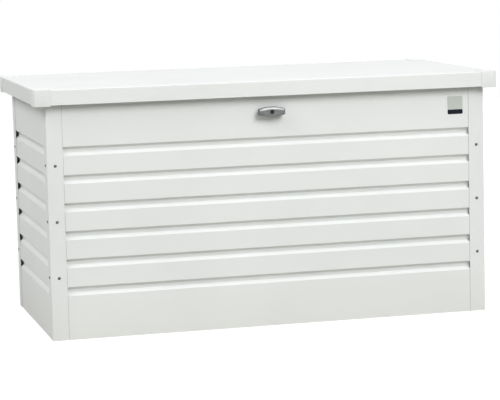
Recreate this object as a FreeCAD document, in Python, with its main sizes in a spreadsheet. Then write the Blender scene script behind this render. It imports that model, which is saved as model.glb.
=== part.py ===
"""Garden storage box: a sheet-steel case on four corner posts under a hinged lid.

Millimetres. The origin lies on the ground under the middle of the box, +Z is up,
-Y is the front with the turn handle, +X is the right-hand side seen from the front.
"""
import FreeCAD, Part

import os
import re
import Sketcher

# Driving dimensions

SIZES = {
    # the whole box
    "body_width": 1511,
    "body_depth": 734,
    "case_height": 812,
    "lid_side_overhang": 39.5,
    "lid_front_overhang": 28,
    "lid_rise": 18,
    "fit_gap": 0.3,
    "running_gap": 0.05,
    "cut_overrun": 1,
    # rolled wall panels with their grooves
    "panel_thickness": 0.8,
    "panel_corner_space": 14.3,
    "groove_count": 6,
    "groove_pitch": 92.5,
    "groove_drop": 173.6,
    "groove_height": 28.9,
    "groove_depth": 11.5,
    "groove_upper_slope": 7,
    "groove_lower_slope": 9,
    # corner posts and the screws through them
    "post_flange": 53.6,
    "post_thickness": 1.2,
    "post_edge_radius": 3,
    "post_screw_rows": 3,
    "screw_diameter": 5,
    "screw_head_diameter": 10.5,
    "screw_head_height": 3,
    "screw_length": 12,
    "screw_hole_gap": 0.2,
    "nut_across_flats": 8,
    "nut_height": 4,
    # rails along the top edge and round the floor
    "rail_thickness": 1.2,
    "top_rail_width": 20,
    "top_rail_drop": 30,
    "base_rail_width": 36,
    "base_rail_height": 45,
    "floor_seat_height": 12,
    "floor_thickness": 1,
    "floor_screw_end_space": 155.5,
    "floor_screw_length": 8,
    # lid
    "lid_sheet_thickness": 1,
    "lid_bend_radius": 3.5,
    "lid_rim_height": 51,
    "lid_hem_width": 12,
    "cap_wall": 2,
    "cap_front_length": 54,
    "cap_side_length": 60,
    "cap_lip_drop": 3,
    "cap_corner_radius": 10,
    "cap_edge_radius": 1.5,
    "stiffener_end_space": 85.5,
    "stiffener_crown": 40,
    "stiffener_flange": 10,
    "stiffener_height": 20,
    "stiffener_thickness": 1.2,
    "stiffener_edge_gap": 4,
    "buffer_diameter": 16,
    "buffer_setback": 60,
    # hinges along the rear edge
    "hinge_drop": 26,
    "hinge_end_space": 195.5,
    "hinge_width": 80,
    "hinge_leaf_thickness": 2,
    "hinge_leaf_reach": 40,
    "hinge_knuckle_diameter": 10,
    "hinge_lid_knuckle": 36,
    "hinge_pin_diameter": 5,
    "hinge_rivet_spacing": 50,
    "rivet_diameter": 4.8,
    "rivet_head_diameter": 9,
    "rivet_head_height": 1.8,
    "rivet_end_diameter": 8,
    # gas struts
    "strut_wall_space": 46,
    "strut_arm": 310,
    "strut_upper_angle": 1.7,
    "strut_lower_angle": 76,
    "strut_tube_diameter": 18,
    "strut_tube_wall": 1.5,
    "strut_tube_length": 312,
    "strut_rod_diameter": 8,
    "strut_rod_length": 316,
    "strut_guide_height": 8,
    "strut_eye_diameter": 16,
    "strut_eye_width": 12,
    "strut_neck_diameter": 10,
    "strut_neck_length": 30,
    "strut_stud_diameter": 8,
    "strut_stud_head_diameter": 13,
    "strut_stud_head_height": 2,
    "strut_plate_thickness": 2.5,
    "strut_plate_width": 40,
    "strut_strip_height": 200,
    "strut_lid_foot": 40,
    # turn handle with its lock, cam and two lock rods
    "lock_drop": 88,
    "lock_body_diameter": 22,
    "lock_flange_diameter": 32,
    "lock_flange_thickness": 3,
    "lock_body_length": 26,
    "lock_nut_across_flats": 30,
    "lock_nut_height": 6,
    "handle_shaft_diameter": 14,
    "handle_neck_diameter": 20,
    "handle_reach": 28.5,
    "grip_length": 93,
    "grip_depth": 14,
    "grip_middle_height": 34,
    "grip_end_height": 19,
    "grip_edge_radius": 5,
    "plug_diameter": 15,
    "plug_length": 20,
    "keyway_width": 2.4,
    "keyway_height": 8,
    "keyway_depth": 12,
    "cam_thickness": 3,
    "cam_diameter": 54,
    "cam_stub_diameter": 8,
    "cam_pin_circle": 40,
    "cam_pin_diameter": 5,
    "cam_pin_end": 2,
    "cam_screw_diameter": 4,
    "cam_screw_length": 12,
    "cam_screw_head_diameter": 9,
    "cam_screw_head_height": 2.5,
    "rod_thickness": 4,
    "rod_height": 18,
    "rod_cam_space": 5.5,
    "rod_centre_height": 17,
    "rod_end_margin": 8,
    "pin_slot_gap": 0.95,
    "keeper_end_space": 135.5,
    "keeper_thickness": 3,
    "keeper_width": 18,
    "keeper_slot_gap": 1.5,
    "keeper_foot": 30,
    "keeper_tail": 8,
    "rod_tip_gap": 4,
    "guide_near_position": 140,
    "guide_keeper_space": 40,
    "guide_thickness": 2,
    "guide_height": 30,
    "guide_foot": 18,
    # plain plate on the front
    "plate_width": 54,
    "plate_height": 63,
    "plate_thickness": 1,
    "plate_corner_radius": 4,
    "plate_post_gap": 21,
    "plate_drop": 95,
}

doc = FreeCAD.newDocument("GardenStorageBox")
sheet = doc.addObject("Spreadsheet::Sheet", "Sizes")
for row, (alias, value) in enumerate(SIZES.items(), start=1):
    sheet.set(f"A{row}", str(value))
    sheet.setAlias(f"A{row}", alias)
doc.recompute()

# Places and lengths that follow from the driving dimensions

DERIVED = {
    # the walls and what stands on them
    "wall_x": "body_width / 2 - post_thickness",
    "wall_y": "body_depth / 2 - post_thickness",
    "panel_top": "case_height - rail_thickness",
    "groove_top_edge": "case_height - groove_drop",
    "lowest_groove_edge": "groove_top_edge - (groove_count - 1) * groove_pitch - groove_height",
    "first_screw": "lowest_groove_edge + (groove_pitch + groove_height) / 2",
    "floor_screw_spacing": "(body_width - 2 * floor_screw_end_space) / 3",
    "plate_centre_height": "case_height - plate_drop",
    # the lid
    "lid_width": "body_width + 2 * lid_side_overhang",
    "lid_depth": "body_depth + 2 * lid_front_overhang",
    "box_height": "case_height + lid_rise",
    "sheet_x": "lid_width / 2 - cap_wall",
    "sheet_y": "lid_depth / 2 - cap_wall",
    "sheet_top": "box_height - cap_wall",
    "sheet_corner": "cap_corner_radius - cap_wall",
    "lid_underside": "sheet_top - lid_sheet_thickness",
    "rim_bottom": "sheet_top - lid_rim_height",
    "rim_inner_y": "sheet_y - lid_sheet_thickness",
    "stiffener_length": "body_width - 2 * stiffener_end_space",
    "stiffener_bottom": "lid_underside - stiffener_height",
    "stiffener_half_width": "stiffener_crown / 2 + stiffener_flange",
    "front_stiffener_y": "stiffener_half_width - (wall_y - top_rail_width - stiffener_edge_gap)",
    # the hinges and the struts
    "hinge_y": "(wall_y + rim_inner_y) / 2",
    "hinge_height": "case_height - hinge_drop",
    "hinge_spacing": "body_width / 2 - hinge_end_space",
    "case_rivet_height": "hinge_height - hinge_knuckle_diameter / 2 - hinge_leaf_reach / 2",
    "lid_rivet_height": "(hinge_height + hinge_knuckle_diameter / 2 + lid_underside) / 2",
    "strut_x": "wall_x - strut_wall_space",
    "strut_low_y": "hinge_y - strut_arm * cos(strut_lower_angle)",
    "strut_low_z": "hinge_height - strut_arm * sin(strut_lower_angle)",
    "strut_top_y": "hinge_y - strut_arm * cos(strut_upper_angle)",
    "strut_top_z": "hinge_height + strut_arm * sin(strut_upper_angle)",
    "strut_tilt": "(strut_lower_angle - strut_upper_angle) / 2",
    "strut_length": "2 * strut_arm * sin((strut_lower_angle + strut_upper_angle) / 2)",
    # the lock
    "lock_height": "case_height - lock_drop",
    "cam_face": "lock_body_length + fit_gap",
    "rod_face": "cam_face + cam_thickness + rod_cam_space",
    "rod_middle": "rod_face + rod_thickness / 2",
    "pin_offset": "cam_pin_circle / 2 * cos(45)",
    "keeper_position": "body_width / 2 - keeper_end_space",
    "guide_far_position": "keeper_position - guide_keeper_space",
}


def tied(formula):
    """Write out what follows from other sizes, and point each size at its cell of the sheet."""
    def cell(match):
        word = match.group(0)
        if word in DERIVED:
            return f"({tied(DERIVED[word])})"
        return f"Sizes.{word}" if word in SIZES else word

    return re.sub(r"[a-z][a-z_]*", cell, str(formula))


def value_of(formula):
    """Number that a formula gives with the present sizes."""
    result = sheet.evalExpression(tied(formula))
    return float(getattr(result, "Value", result))


# Sketches and features shared by the pieces

def new_body(label):
    body = doc.addObject("PartDesign::Body", label)
    body.Label = label
    return body


def origin_feature(body, role):
    return next(item for item in body.Origin.OriginFeatures if item.Role == role)


def new_sketch(body, name, role, level):
    """Sketch parallel to an origin plane, level mm along that plane's positive axis."""
    sketch = body.newObject("Sketcher::SketchObject", name)
    sketch.AttachmentSupport = [(origin_feature(body, role), "")]
    sketch.MapMode = "FlatFace"
    offset = f"-({level})" if role == "XZ_Plane" else level
    sketch.setExpression("AttachmentOffset.Base.z", tied(offset))
    return sketch


def pin_point(sketch, geometry, position, across, up):
    """Hold one point of the sketch at its two distances from the sketch's origin."""
    for kind, formula in (("DistanceX", across), ("DistanceY", up)):
        number = value_of(formula)
        constraint = Sketcher.Constraint(kind, -1, 1, geometry, position, number)
        index = sketch.addConstraint(constraint)
        sketch.setExpression(f"Constraints[{index}]", tied(formula))


def draw_outline(sketch, points):
    """Closed outline of straight lines through points, each a pair of formulas."""
    corners = [FreeCAD.Vector(value_of(a), value_of(b), 0) for a, b in points]
    count = len(corners)
    first = sketch.GeometryCount
    lines = [Part.LineSegment(corners[i], corners[(i + 1) % count]) for i in range(count)]
    sketch.addGeometry(lines, False)
    for i in range(count):
        joint = Sketcher.Constraint("Coincident", first + i, 2, first + (i + 1) % count, 1)
        sketch.addConstraint(joint)
    for i, (across, up) in enumerate(points):
        pin_point(sketch, first + i, 1, across, up)


def draw_circle(sketch, across, up, diameter):
    centre = FreeCAD.Vector(value_of(across), value_of(up), 0)
    radius = value_of(diameter) / 2
    index = sketch.addGeometry(Part.Circle(centre, FreeCAD.Vector(0, 0, 1), radius), False)
    pin_point(sketch, index, 3, across, up)
    constraint = sketch.addConstraint(Sketcher.Constraint("Diameter", index, 2 * radius))
    sketch.setExpression(f"Constraints[{constraint}]", tied(diameter))


def add_feature(body, sketch, kind, low, high):
    feature = body.newObject(f"PartDesign::{kind}", f"{sketch.Name}{kind}")
    feature.Profile = sketch
    feature.setExpression("Length", tied(f"({high}) - ({low})"))
    doc.recompute()
    return feature


def start_level(role, kind, low, high):
    """Plane to draw on, so that the feature fills the space between low and high."""
    forward = (role == "XZ_Plane") == (kind == "Pocket")
    return low if forward else high


def prism(body, name, role, points, low, high, kind="Pad"):
    """Straight-sided solid added between two levels, or cut there when kind is Pocket."""
    sketch = new_sketch(body, name, role, start_level(role, kind, low, high))
    draw_outline(sketch, points)
    return add_feature(body, sketch, kind, low, high)


def discs(body, name, role, centres, diameter, low, high, kind="Pad"):
    """Round solids or holes of one diameter about several centres."""
    sketch = new_sketch(body, name, role, start_level(role, kind, low, high))
    for across, up in centres:
        draw_circle(sketch, across, up, diameter)
    return add_feature(body, sketch, kind, low, high)


def rectangle(left, right, bottom, top):
    return [(left, bottom), (right, bottom), (right, top), (left, top)]


def in_rows(body, name, features, pitch, count, downward=False):
    """Repeat features up or down the height."""
    rows = body.newObject("PartDesign::LinearPattern", name)
    rows.Originals = features
    rows.Direction = (origin_feature(body, "Z_Axis"), [""])
    rows.Reversed = downward
    rows.setExpression("Length", tied(f"({pitch}) * ({count} - 1)"))
    rows.setExpression("Occurrences", tied(count))
    body.Tip = rows
    doc.recompute()
    return rows


def round_edges(body, name, base, chosen, radius):
    """Fillet of the edges that the test picks out of the base feature."""
    edges = [f"Edge{i + 1}" for i, edge in enumerate(base.Shape.Edges) if chosen(edge)]
    fillet = body.newObject("PartDesign::Fillet", name)
    fillet.Base = (base, edges)
    fillet.setExpression("Radius", tied(radius))
    body.Tip = fillet
    doc.recompute()
    return fillet


def is_upright(edge):
    box = edge.BoundBox
    return box.ZLength > 1 and box.XLength < 0.001 and box.YLength < 0.001


def upright_at(corner):
    """Test for the upright edge that stands on a corner, given as two formulas."""
    point = FreeCAD.Vector(value_of(corner[0]), value_of(corner[1]), 0)

    def stands_there(edge):
        start = edge.Vertexes[0].Point
        offset = FreeCAD.Vector(start.x, start.y, 0) - point
        return is_upright(edge) and offset.Length < 0.01

    return stands_there


def place(item, across, back, up, axis=None, angle="0"):
    """Bind a primitive's position, after turning it about an axis."""
    if axis is not None:
        item.Placement.Rotation = FreeCAD.Rotation(axis, value_of(angle))
        item.setExpression("Placement.Rotation.Angle", tied(angle))
    for name, formula in zip("xyz", (across, back, up)):
        item.setExpression(f"Placement.Base.{name}", tied(formula))
    return item


def primitive(kind, name, sizes):
    item = doc.addObject(f"Part::{kind}", name)
    for size, formula in sizes.items():
        item.setExpression(size, tied(formula))
    return item


def block(name, x_low, x_high, y_low, y_high, z_low, z_high):
    lengths = {
        "Length": f"({x_high}) - ({x_low})",
        "Width": f"({y_high}) - ({y_low})",
        "Height": f"({z_high}) - ({z_low})",
    }
    return place(primitive("Box", name, lengths), x_low, y_low, z_low)


AXIS_X = FreeCAD.Vector(1, 0, 0)
AXIS_Y = FreeCAD.Vector(0, 1, 0)
# turning a primitive's own +Z onto an axis of the box
TOWARDS = {
    "+X": (AXIS_Y, "90"),
    "-X": (AXIS_Y, "-90"),
    "+Y": (AXIS_X, "-90"),
    "-Y": (AXIS_X, "90"),
    "+Z": (AXIS_X, "0"),
    "-Z": (AXIS_X, "180"),
}


def rod_piece(name, diameter, length, direction, across, back, up):
    """Cylinder that starts at a point and runs along an axis of the box."""
    item = primitive("Cylinder", name, {"Radius": f"({diameter}) / 2", "Height": length})
    return place(item, across, back, up, *TOWARDS[direction])


def join(label, pieces):
    item = doc.addObject("Part::MultiFuse", label)
    item.Shapes = pieces
    item.Label = label
    doc.recompute()
    return item


def cut(label, base, tool):
    item = doc.addObject("Part::Cut", label)
    item.Base = base
    item.Tool = tool
    item.Label = label
    doc.recompute()
    return item


def group(label, pieces):
    """Like pieces that share one node as separate solids."""
    item = doc.addObject("Part::Compound", label)
    item.Links = pieces
    item.Label = label
    doc.recompute()
    return item


def behind(point, direction, depth):
    """Point moved depth mm along a direction."""
    moved = list(point)
    index = "XYZ".index(direction[1])
    moved[index] = f"{moved[index]} {direction[0]} ({depth})"
    return moved


def fastener(name, direction, point, diameter, length, head_diameter, head_height):
    """Domed head outside the point and a shank that runs on along the direction."""
    opposite = {"+": "-", "-": "+"}[direction[0]] + direction[1]
    shank = rod_piece(f"{name}_shank", diameter, length, direction, *point)
    sphere = f"((({head_diameter}) / 2) ^ 2 + ({head_height}) ^ 2) / (2 * ({head_height}))"
    head = primitive("Sphere", f"{name}_head", {
        "Radius": sphere,
        "Angle1": f"asin(1 - ({head_height}) / ({sphere}))",
    })
    head.Angle2 = 90
    centre = behind(point, direction, f"({sphere}) - ({head_height})")
    place(head, *centre, *TOWARDS[opposite])
    return join(name, [shank, head])


def hexagon_nut(name, direction, point, across_flats, height, bore):
    across, back, up = point
    blank = primitive("Prism", f"{name}_blank", {
        "Circumradius": f"({across_flats}) / sqrt(3)",
        "Height": height,
    })
    blank.Polygon = 6
    place(blank, across, back, up, *TOWARDS[direction])
    hole = rod_piece(f"{name}_hole", bore, height, direction, across, back, up)
    return cut(name, blank, hole)


# Wall panels

def wall_frame(normal):
    """Face value, half length, profile plane and face plane of a wall by its normal."""
    if normal == "Y":
        return "wall_y", "(wall_x - panel_corner_space)", "YZ_Plane", "XZ_Plane"
    return "wall_x", "(wall_y - panel_corner_space - panel_thickness)", "XZ_Plane", "YZ_Plane"


def between(side, face, outer, inner):
    """Low and high level of a layer that lies outer to inner mm behind a wall face."""
    if side < 0:
        return f"-({face}) + ({outer})", f"-({face}) + ({inner})"
    return f"({face}) - ({inner})", f"({face}) - ({outer})"


def inward(side, face, depth):
    """Coordinate of a point depth mm behind a wall face."""
    return f"{side} * (({face}) - ({depth}))"


def wall_panel(label, normal, side):
    """Sheet with level grooves, each a sloping lip, an upright back and a sloping sill."""
    body = new_body(label)
    face, half, profile_plane, face_plane = wall_frame(normal)
    low, high = between(side, face, "0", "panel_thickness")
    plate = rectangle(f"-{half}", half, "0", "panel_top")
    prism(body, f"{label}_plate", face_plane, plate, low, high)
    upper = "groove_upper_slope / groove_depth"
    lower = "groove_lower_slope / groove_depth"
    bottom_edge = "(groove_top_edge - groove_height)"
    back = "(groove_depth + panel_thickness)"
    upper_rise = f"panel_thickness * sqrt(1 + ({upper}) ^ 2)"
    lower_rise = f"panel_thickness * sqrt(1 + ({lower}) ^ 2)"
    channel = [
        (inward(side, face, "0"), f"groove_top_edge + {upper_rise}"),
        (inward(side, face, back), f"groove_top_edge + {upper_rise} - {upper} * {back}"),
        (inward(side, face, back), f"{bottom_edge} - {lower_rise} + {lower} * {back}"),
        (inward(side, face, "0"), f"{bottom_edge} - {lower_rise}"),
    ]
    hollow = [
        (inward(side, face, "-cut_overrun"), f"groove_top_edge + {upper} * cut_overrun"),
        (inward(side, face, "groove_depth"), "groove_top_edge - groove_upper_slope"),
        (inward(side, face, "groove_depth"), f"{bottom_edge} + groove_lower_slope"),
        (inward(side, face, "-cut_overrun"), f"{bottom_edge} - {lower} * cut_overrun"),
    ]
    added = prism(body, f"{label}_channel", profile_plane, channel, f"-{half}", half)
    removed = prism(body, f"{label}_hollow", profile_plane, hollow, f"-{half}", half, "Pocket")
    in_rows(body, f"{label}_grooves", [added, removed], "groove_pitch", "groove_count", True)
    post_side = "body_width / 2" if normal == "Y" else "body_depth / 2"
    centres = [(f"{end} * ({post_side} - post_flange / 2)", "first_screw") for end in (-1, 1)]
    holes = discs(body, f"{label}_screw_holes", face_plane, centres,
                  "screw_diameter + 2 * screw_hole_gap", low, high, "Pocket")
    in_rows(body, f"{label}_screw_rows", [holes], "2 * groove_pitch", "post_screw_rows")
    return body


def front_panel():
    body = wall_panel("front_panel", "Y", -1)
    low, high = between(-1, "wall_y", "0", "panel_thickness")
    discs(body, "front_panel_lock_hole", "XZ_Plane", [("0", "lock_height")],
          "lock_body_diameter + 2 * running_gap", low, high, "Pocket")
    return body


def hinge_centres():
    return [("left", "-hinge_spacing"), ("middle", "0"), ("right", "hinge_spacing")]


def hinge_rivet_places(level):
    """Both rivets of every hinge, at one height."""
    return [(f"{centre} + {side} * hinge_rivet_spacing / 2", level)
            for _, centre in hinge_centres() for side in (-1, 1)]


def rear_panel():
    body = wall_panel("rear_panel", "Y", 1)
    low, high = between(1, "wall_y", "0", "panel_thickness")
    discs(body, "rear_panel_rivet_holes", "XZ_Plane", hinge_rivet_places("case_rivet_height"),
          "rivet_diameter + 2 * running_gap", low, high, "Pocket")
    return body


# Corner posts with their screws and nuts

def corner_post(label, side_x, side_y):
    """Folded angle whose two flanges lie over the ends of the panels."""
    body = new_body(label)

    def corner(from_side, from_front):
        return (f"{side_x} * (body_width / 2 - ({from_side}))",
                f"{side_y} * (body_depth / 2 - ({from_front}))")

    section = [
        corner("0", "0"),
        corner("post_flange", "0"),
        corner("post_flange", "post_thickness"),
        corner("post_thickness", "post_thickness"),
        corner("post_thickness", "post_flange"),
        corner("0", "post_flange"),
    ]
    fold = prism(body, f"{label}_section", "XY_Plane", section, "0", "case_height")
    outside = round_edges(body, f"{label}_outer_bend", fold,
                          upright_at(corner("0", "0")), "post_edge_radius")
    round_edges(body, f"{label}_inner_bend", outside,
                upright_at(corner("post_thickness", "post_thickness")),
                "post_edge_radius - post_thickness")
    hole = "screw_diameter + 2 * screw_hole_gap"
    middle_x = f"{side_x} * (body_width / 2 - post_flange / 2)"
    middle_y = f"{side_y} * (body_depth / 2 - post_flange / 2)"
    low, high = between(side_y, "body_depth / 2", "0", "post_thickness")
    front_holes = discs(body, f"{label}_front_holes", "XZ_Plane", [(middle_x, "first_screw")],
                        hole, low, high, "Pocket")
    in_rows(body, f"{label}_front_rows", [front_holes], "2 * groove_pitch", "post_screw_rows")
    low, high = between(side_x, "body_width / 2", "0", "post_thickness")
    side_holes = discs(body, f"{label}_side_holes", "YZ_Plane", [(middle_y, "first_screw")],
                       hole, low, high, "Pocket")
    in_rows(body, f"{label}_side_rows", [side_holes], "2 * groove_pitch", "post_screw_rows")
    return body


def post_screw_points():
    """Point on the post face and inward direction of every post screw."""
    rows = int(value_of("post_screw_rows"))
    for side_x in (-1, 1):
        for side_y in (-1, 1):
            for row in range(rows):
                level = f"first_screw + {row} * 2 * groove_pitch"
                yield ((f"{side_x} * (body_width / 2 - post_flange / 2)",
                        f"{side_y} * body_depth / 2", level), "+Y" if side_y < 0 else "-Y")
                yield ((f"{side_x} * body_width / 2",
                        f"{side_y} * (body_depth / 2 - post_flange / 2)", level),
                       "+X" if side_x < 0 else "-X")


def post_screws():
    screws = [fastener(f"post_screw_{number}", direction, point, "screw_diameter",
                       "screw_length", "screw_head_diameter", "screw_head_height")
              for number, (point, direction) in enumerate(post_screw_points())]
    return group("post_screws", screws)


def post_nuts():
    clamped = "post_thickness + panel_thickness"
    nuts = [hexagon_nut(f"post_nut_{number}", direction, behind(point, direction, clamped),
                        "nut_across_flats", "nut_height", "screw_diameter + 2 * running_gap")
            for number, (point, direction) in enumerate(post_screw_points())]
    return group("post_nuts", nuts)


# Rails and floor

def top_rail(label, normal, side):
    """Angle that caps the upper edge of a panel."""
    body = new_body(label)
    face, _, profile_plane, _ = wall_frame(normal)
    half = "(wall_x - post_edge_radius)"
    if normal == "X":
        half = "(wall_y - top_rail_width)"
    section = [(inward(side, face, depth), level) for depth, level in (
        ("0", "case_height"),
        ("top_rail_width", "case_height"),
        ("top_rail_width", "case_height - top_rail_drop"),
        ("top_rail_width - rail_thickness", "case_height - top_rail_drop"),
        ("top_rail_width - rail_thickness", "panel_top"),
        ("0", "panel_top"),
    )]
    prism(body, f"{label}_section", profile_plane, section, f"-{half}", half)
    return body


def floor_screw_points():
    """The floor's screws, in the middle of the front and rear base rails' flanges."""
    inset = "(wall_y - panel_thickness - base_rail_width / 2)"
    return [(f"{step} * floor_screw_spacing", f"{side} * {inset}")
            for side in (-1, 1) for step in (-1.5, -0.5, 0.5, 1.5)]


def base_rail(label, normal, side):
    """Angle on the inside of a panel whose flange carries the floor."""
    body = new_body(label)
    face, half, profile_plane, _ = wall_frame(normal)
    if normal == "X":
        half = "(wall_y - panel_thickness - base_rail_width)"
    outer = "panel_thickness"
    seat = "floor_seat_height"
    section = [(inward(side, face, depth), level) for depth, level in (
        (outer, f"{seat} - rail_thickness"),
        (f"{outer} + base_rail_width", f"{seat} - rail_thickness"),
        (f"{outer} + base_rail_width", seat),
        (f"{outer} + rail_thickness", seat),
        (f"{outer} + rail_thickness", "base_rail_height"),
        (outer, "base_rail_height"),
    )]
    prism(body, f"{label}_section", profile_plane, section, f"-{half}", half)
    if normal == "Y":
        centres = [(a, b) for a, b in floor_screw_points() if b.startswith(str(side) + " ")]
        discs(body, f"{label}_holes", "XY_Plane", centres, "screw_diameter + 2 * running_gap",
              f"{seat} - rail_thickness", seat, "Pocket")
    return body


def floor_panel():
    body = new_body("floor_panel")
    margin = "(panel_thickness + rail_thickness + fit_gap)"
    half_x = f"(wall_x - {margin})"
    half_y = f"(wall_y - {margin})"
    top = "floor_seat_height + floor_thickness"
    prism(body, "floor_panel_sheet", "XY_Plane",
          rectangle(f"-{half_x}", half_x, f"-{half_y}", half_y), "floor_seat_height", top)
    discs(body, "floor_panel_holes", "XY_Plane", floor_screw_points(),
          "screw_diameter + 2 * running_gap", "floor_seat_height", top, "Pocket")
    return body


def floor_screws():
    top = "floor_seat_height + floor_thickness"
    screws = [fastener(f"floor_screw_{number}", "-Z", (across, back, top), "screw_diameter",
                       "floor_screw_length", "screw_head_diameter", "screw_head_height")
              for number, (across, back) in enumerate(floor_screw_points())]
    return group("floor_screws", screws)


# Hinges

def hinge_case_leaf(place_name, centre):
    """Leaf on the rear panel with the two outer knuckles."""
    label = f"hinge_case_leaf_{place_name}"
    body = new_body(label)
    left, right = f"{centre} - hinge_width / 2", f"{centre} + hinge_width / 2"
    arm = "(hinge_height - hinge_knuckle_diameter / 2)"
    foot = f"({arm} - hinge_leaf_reach)"
    leaf_face = "(wall_y + hinge_leaf_thickness)"
    section = [
        ("wall_y", foot),
        (leaf_face, foot),
        (leaf_face, arm),
        ("hinge_y", arm),
        ("hinge_y", f"{arm} + hinge_leaf_thickness"),
        ("wall_y", f"{arm} + hinge_leaf_thickness"),
    ]
    prism(body, f"{label}_fold", "YZ_Plane", section, left, right)
    axis = [("hinge_y", "hinge_height")]
    discs(body, f"{label}_knuckle", "YZ_Plane", axis, "hinge_knuckle_diameter", left, right)
    space = "(hinge_lid_knuckle / 2 + fit_gap)"
    reach = "(hinge_knuckle_diameter / 2 + fit_gap)"
    notch = rectangle(f"hinge_y - {reach}", f"hinge_y + {reach}",
                      f"hinge_height - {reach}", f"hinge_height + {reach}")
    prism(body, f"{label}_notch", "YZ_Plane", notch, f"{centre} - {space}",
          f"{centre} + {space}", "Pocket")
    discs(body, f"{label}_bore", "YZ_Plane", axis, "hinge_pin_diameter + 2 * running_gap",
          left, right, "Pocket")
    rivets = [(f"{centre} + {side} * hinge_rivet_spacing / 2", "case_rivet_height")
              for side in (-1, 1)]
    discs(body, f"{label}_rivet_holes", "XZ_Plane", rivets, "rivet_diameter + 2 * running_gap",
          "wall_y", leaf_face, "Pocket")
    return body


def hinge_lid_leaf(place_name, centre):
    """Leaf inside the lid's rear rim with the middle knuckle."""
    label = f"hinge_lid_leaf_{place_name}"
    body = new_body(label)
    arm = "(hinge_height + hinge_knuckle_diameter / 2)"
    leaf_face = "(rim_inner_y - hinge_leaf_thickness)"
    plate = rectangle(leaf_face, "rim_inner_y", f"{arm} - hinge_leaf_thickness",
                      "lid_underside - lid_bend_radius")
    prism(body, f"{label}_plate", "YZ_Plane", plate, f"{centre} - hinge_width / 2",
          f"{centre} + hinge_width / 2")
    left, right = f"{centre} - hinge_lid_knuckle / 2", f"{centre} + hinge_lid_knuckle / 2"
    bar = rectangle("hinge_y", "rim_inner_y", f"{arm} - hinge_leaf_thickness", arm)
    prism(body, f"{label}_arm", "YZ_Plane", bar, left, right)
    axis = [("hinge_y", "hinge_height")]
    discs(body, f"{label}_knuckle", "YZ_Plane", axis, "hinge_knuckle_diameter", left, right)
    discs(body, f"{label}_bore", "YZ_Plane", axis, "hinge_pin_diameter + 2 * running_gap",
          left, right, "Pocket")
    rivets = [(f"{centre} + {side} * hinge_rivet_spacing / 2", "lid_rivet_height")
              for side in (-1, 1)]
    discs(body, f"{label}_rivet_holes", "XZ_Plane", rivets, "rivet_diameter + 2 * running_gap",
          leaf_face, "rim_inner_y", "Pocket")
    return body


def hinge_pins():
    pins = [rod_piece(f"hinge_pin_{name}", "hinge_pin_diameter", "hinge_width", "+X",
                      f"{centre} - hinge_width / 2", "hinge_y", "hinge_height")
            for name, centre in hinge_centres()]
    return group("hinge_pins", pins)


def rivet(name, direction, point, clamped):
    """Domed head at the point, shank through the clamped sheets, upset end behind them."""
    head = fastener(f"{name}_front", direction, point, "rivet_diameter", clamped,
                    "rivet_head_diameter", "rivet_head_height")
    end = rod_piece(f"{name}_end", "rivet_end_diameter", "rivet_head_height", direction,
                    *behind(point, direction, clamped))
    return join(name, [head, end])


def hinge_case_rivets():
    face = "wall_y + hinge_leaf_thickness"
    clamped = "hinge_leaf_thickness + panel_thickness"
    rivets = [rivet(f"case_rivet_{number}", "-Y", (across, face, up), clamped)
              for number, (across, up) in enumerate(hinge_rivet_places("case_rivet_height"))]
    return group("hinge_case_rivets", rivets)


def hinge_lid_rivets():
    clamped = "hinge_leaf_thickness + lid_sheet_thickness"
    rivets = [rivet(f"lid_rivet_{number}", "-Y", (across, "sheet_y", up), clamped)
              for number, (across, up) in enumerate(hinge_rivet_places("lid_rivet_height"))]
    return group("hinge_lid_rivets", rivets)


# Lid

def lid_sheet():
    """Tray folded from one sheet: top, four rims, and hems on all rims but the rear one."""
    body = new_body("lid_sheet")
    blank = prism(body, "lid_blank", "XY_Plane",
                  rectangle("-sheet_x", "sheet_x", "-sheet_y", "sheet_y"), "rim_bottom", "sheet_top")
    bottom = value_of("rim_bottom")
    corners = round_edges(body, "lid_corners", blank, is_upright, "sheet_corner")
    bends = round_edges(body, "lid_bends", corners,
                        lambda edge: edge.BoundBox.ZMin > bottom + 1, "lid_bend_radius")
    underside = [f"Face{i + 1}" for i, face in enumerate(bends.Shape.Faces)
                 if face.BoundBox.ZMax < bottom + 0.001]
    shell = body.newObject("PartDesign::Thickness", "lid_shell")
    shell.Base = (bends, underside)
    shell.setExpression("Value", tied("lid_sheet_thickness"))
    shell.Reversed = True
    body.Tip = shell
    doc.recompute()
    inner_x = "(sheet_x - lid_sheet_thickness / 2)"
    inner_y = "(sheet_y - lid_sheet_thickness / 2)"
    hem_top = "rim_bottom + lid_sheet_thickness"
    for name, side in (("left", -1), ("right", 1)):
        hem_x = f"{side} * ({inner_x} - lid_hem_width)"
        strip = [(f"{side} * {inner_x}", "-sheet_y + sheet_corner"),
                 (hem_x, "-sheet_y + sheet_corner + lid_hem_width"),
                 (hem_x, "sheet_y - sheet_corner - lid_hem_width"),
                 (f"{side} * {inner_x}", "sheet_y - sheet_corner")]
        prism(body, f"lid_hem_{name}", "XY_Plane", strip, "rim_bottom", hem_top)
    strip = [("-sheet_x + sheet_corner", f"-{inner_y}"),
             ("sheet_x - sheet_corner", f"-{inner_y}"),
             ("sheet_x - sheet_corner - lid_hem_width", f"-{inner_y} + lid_hem_width"),
             ("-sheet_x + sheet_corner + lid_hem_width", f"-{inner_y} + lid_hem_width")]
    prism(body, "lid_hem_front", "XY_Plane", strip, "rim_bottom", hem_top)
    discs(body, "lid_rivet_holes", "XZ_Plane", hinge_rivet_places("lid_rivet_height"),
          "rivet_diameter + 2 * running_gap", "rim_inner_y", "sheet_y", "Pocket")
    return body


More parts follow.
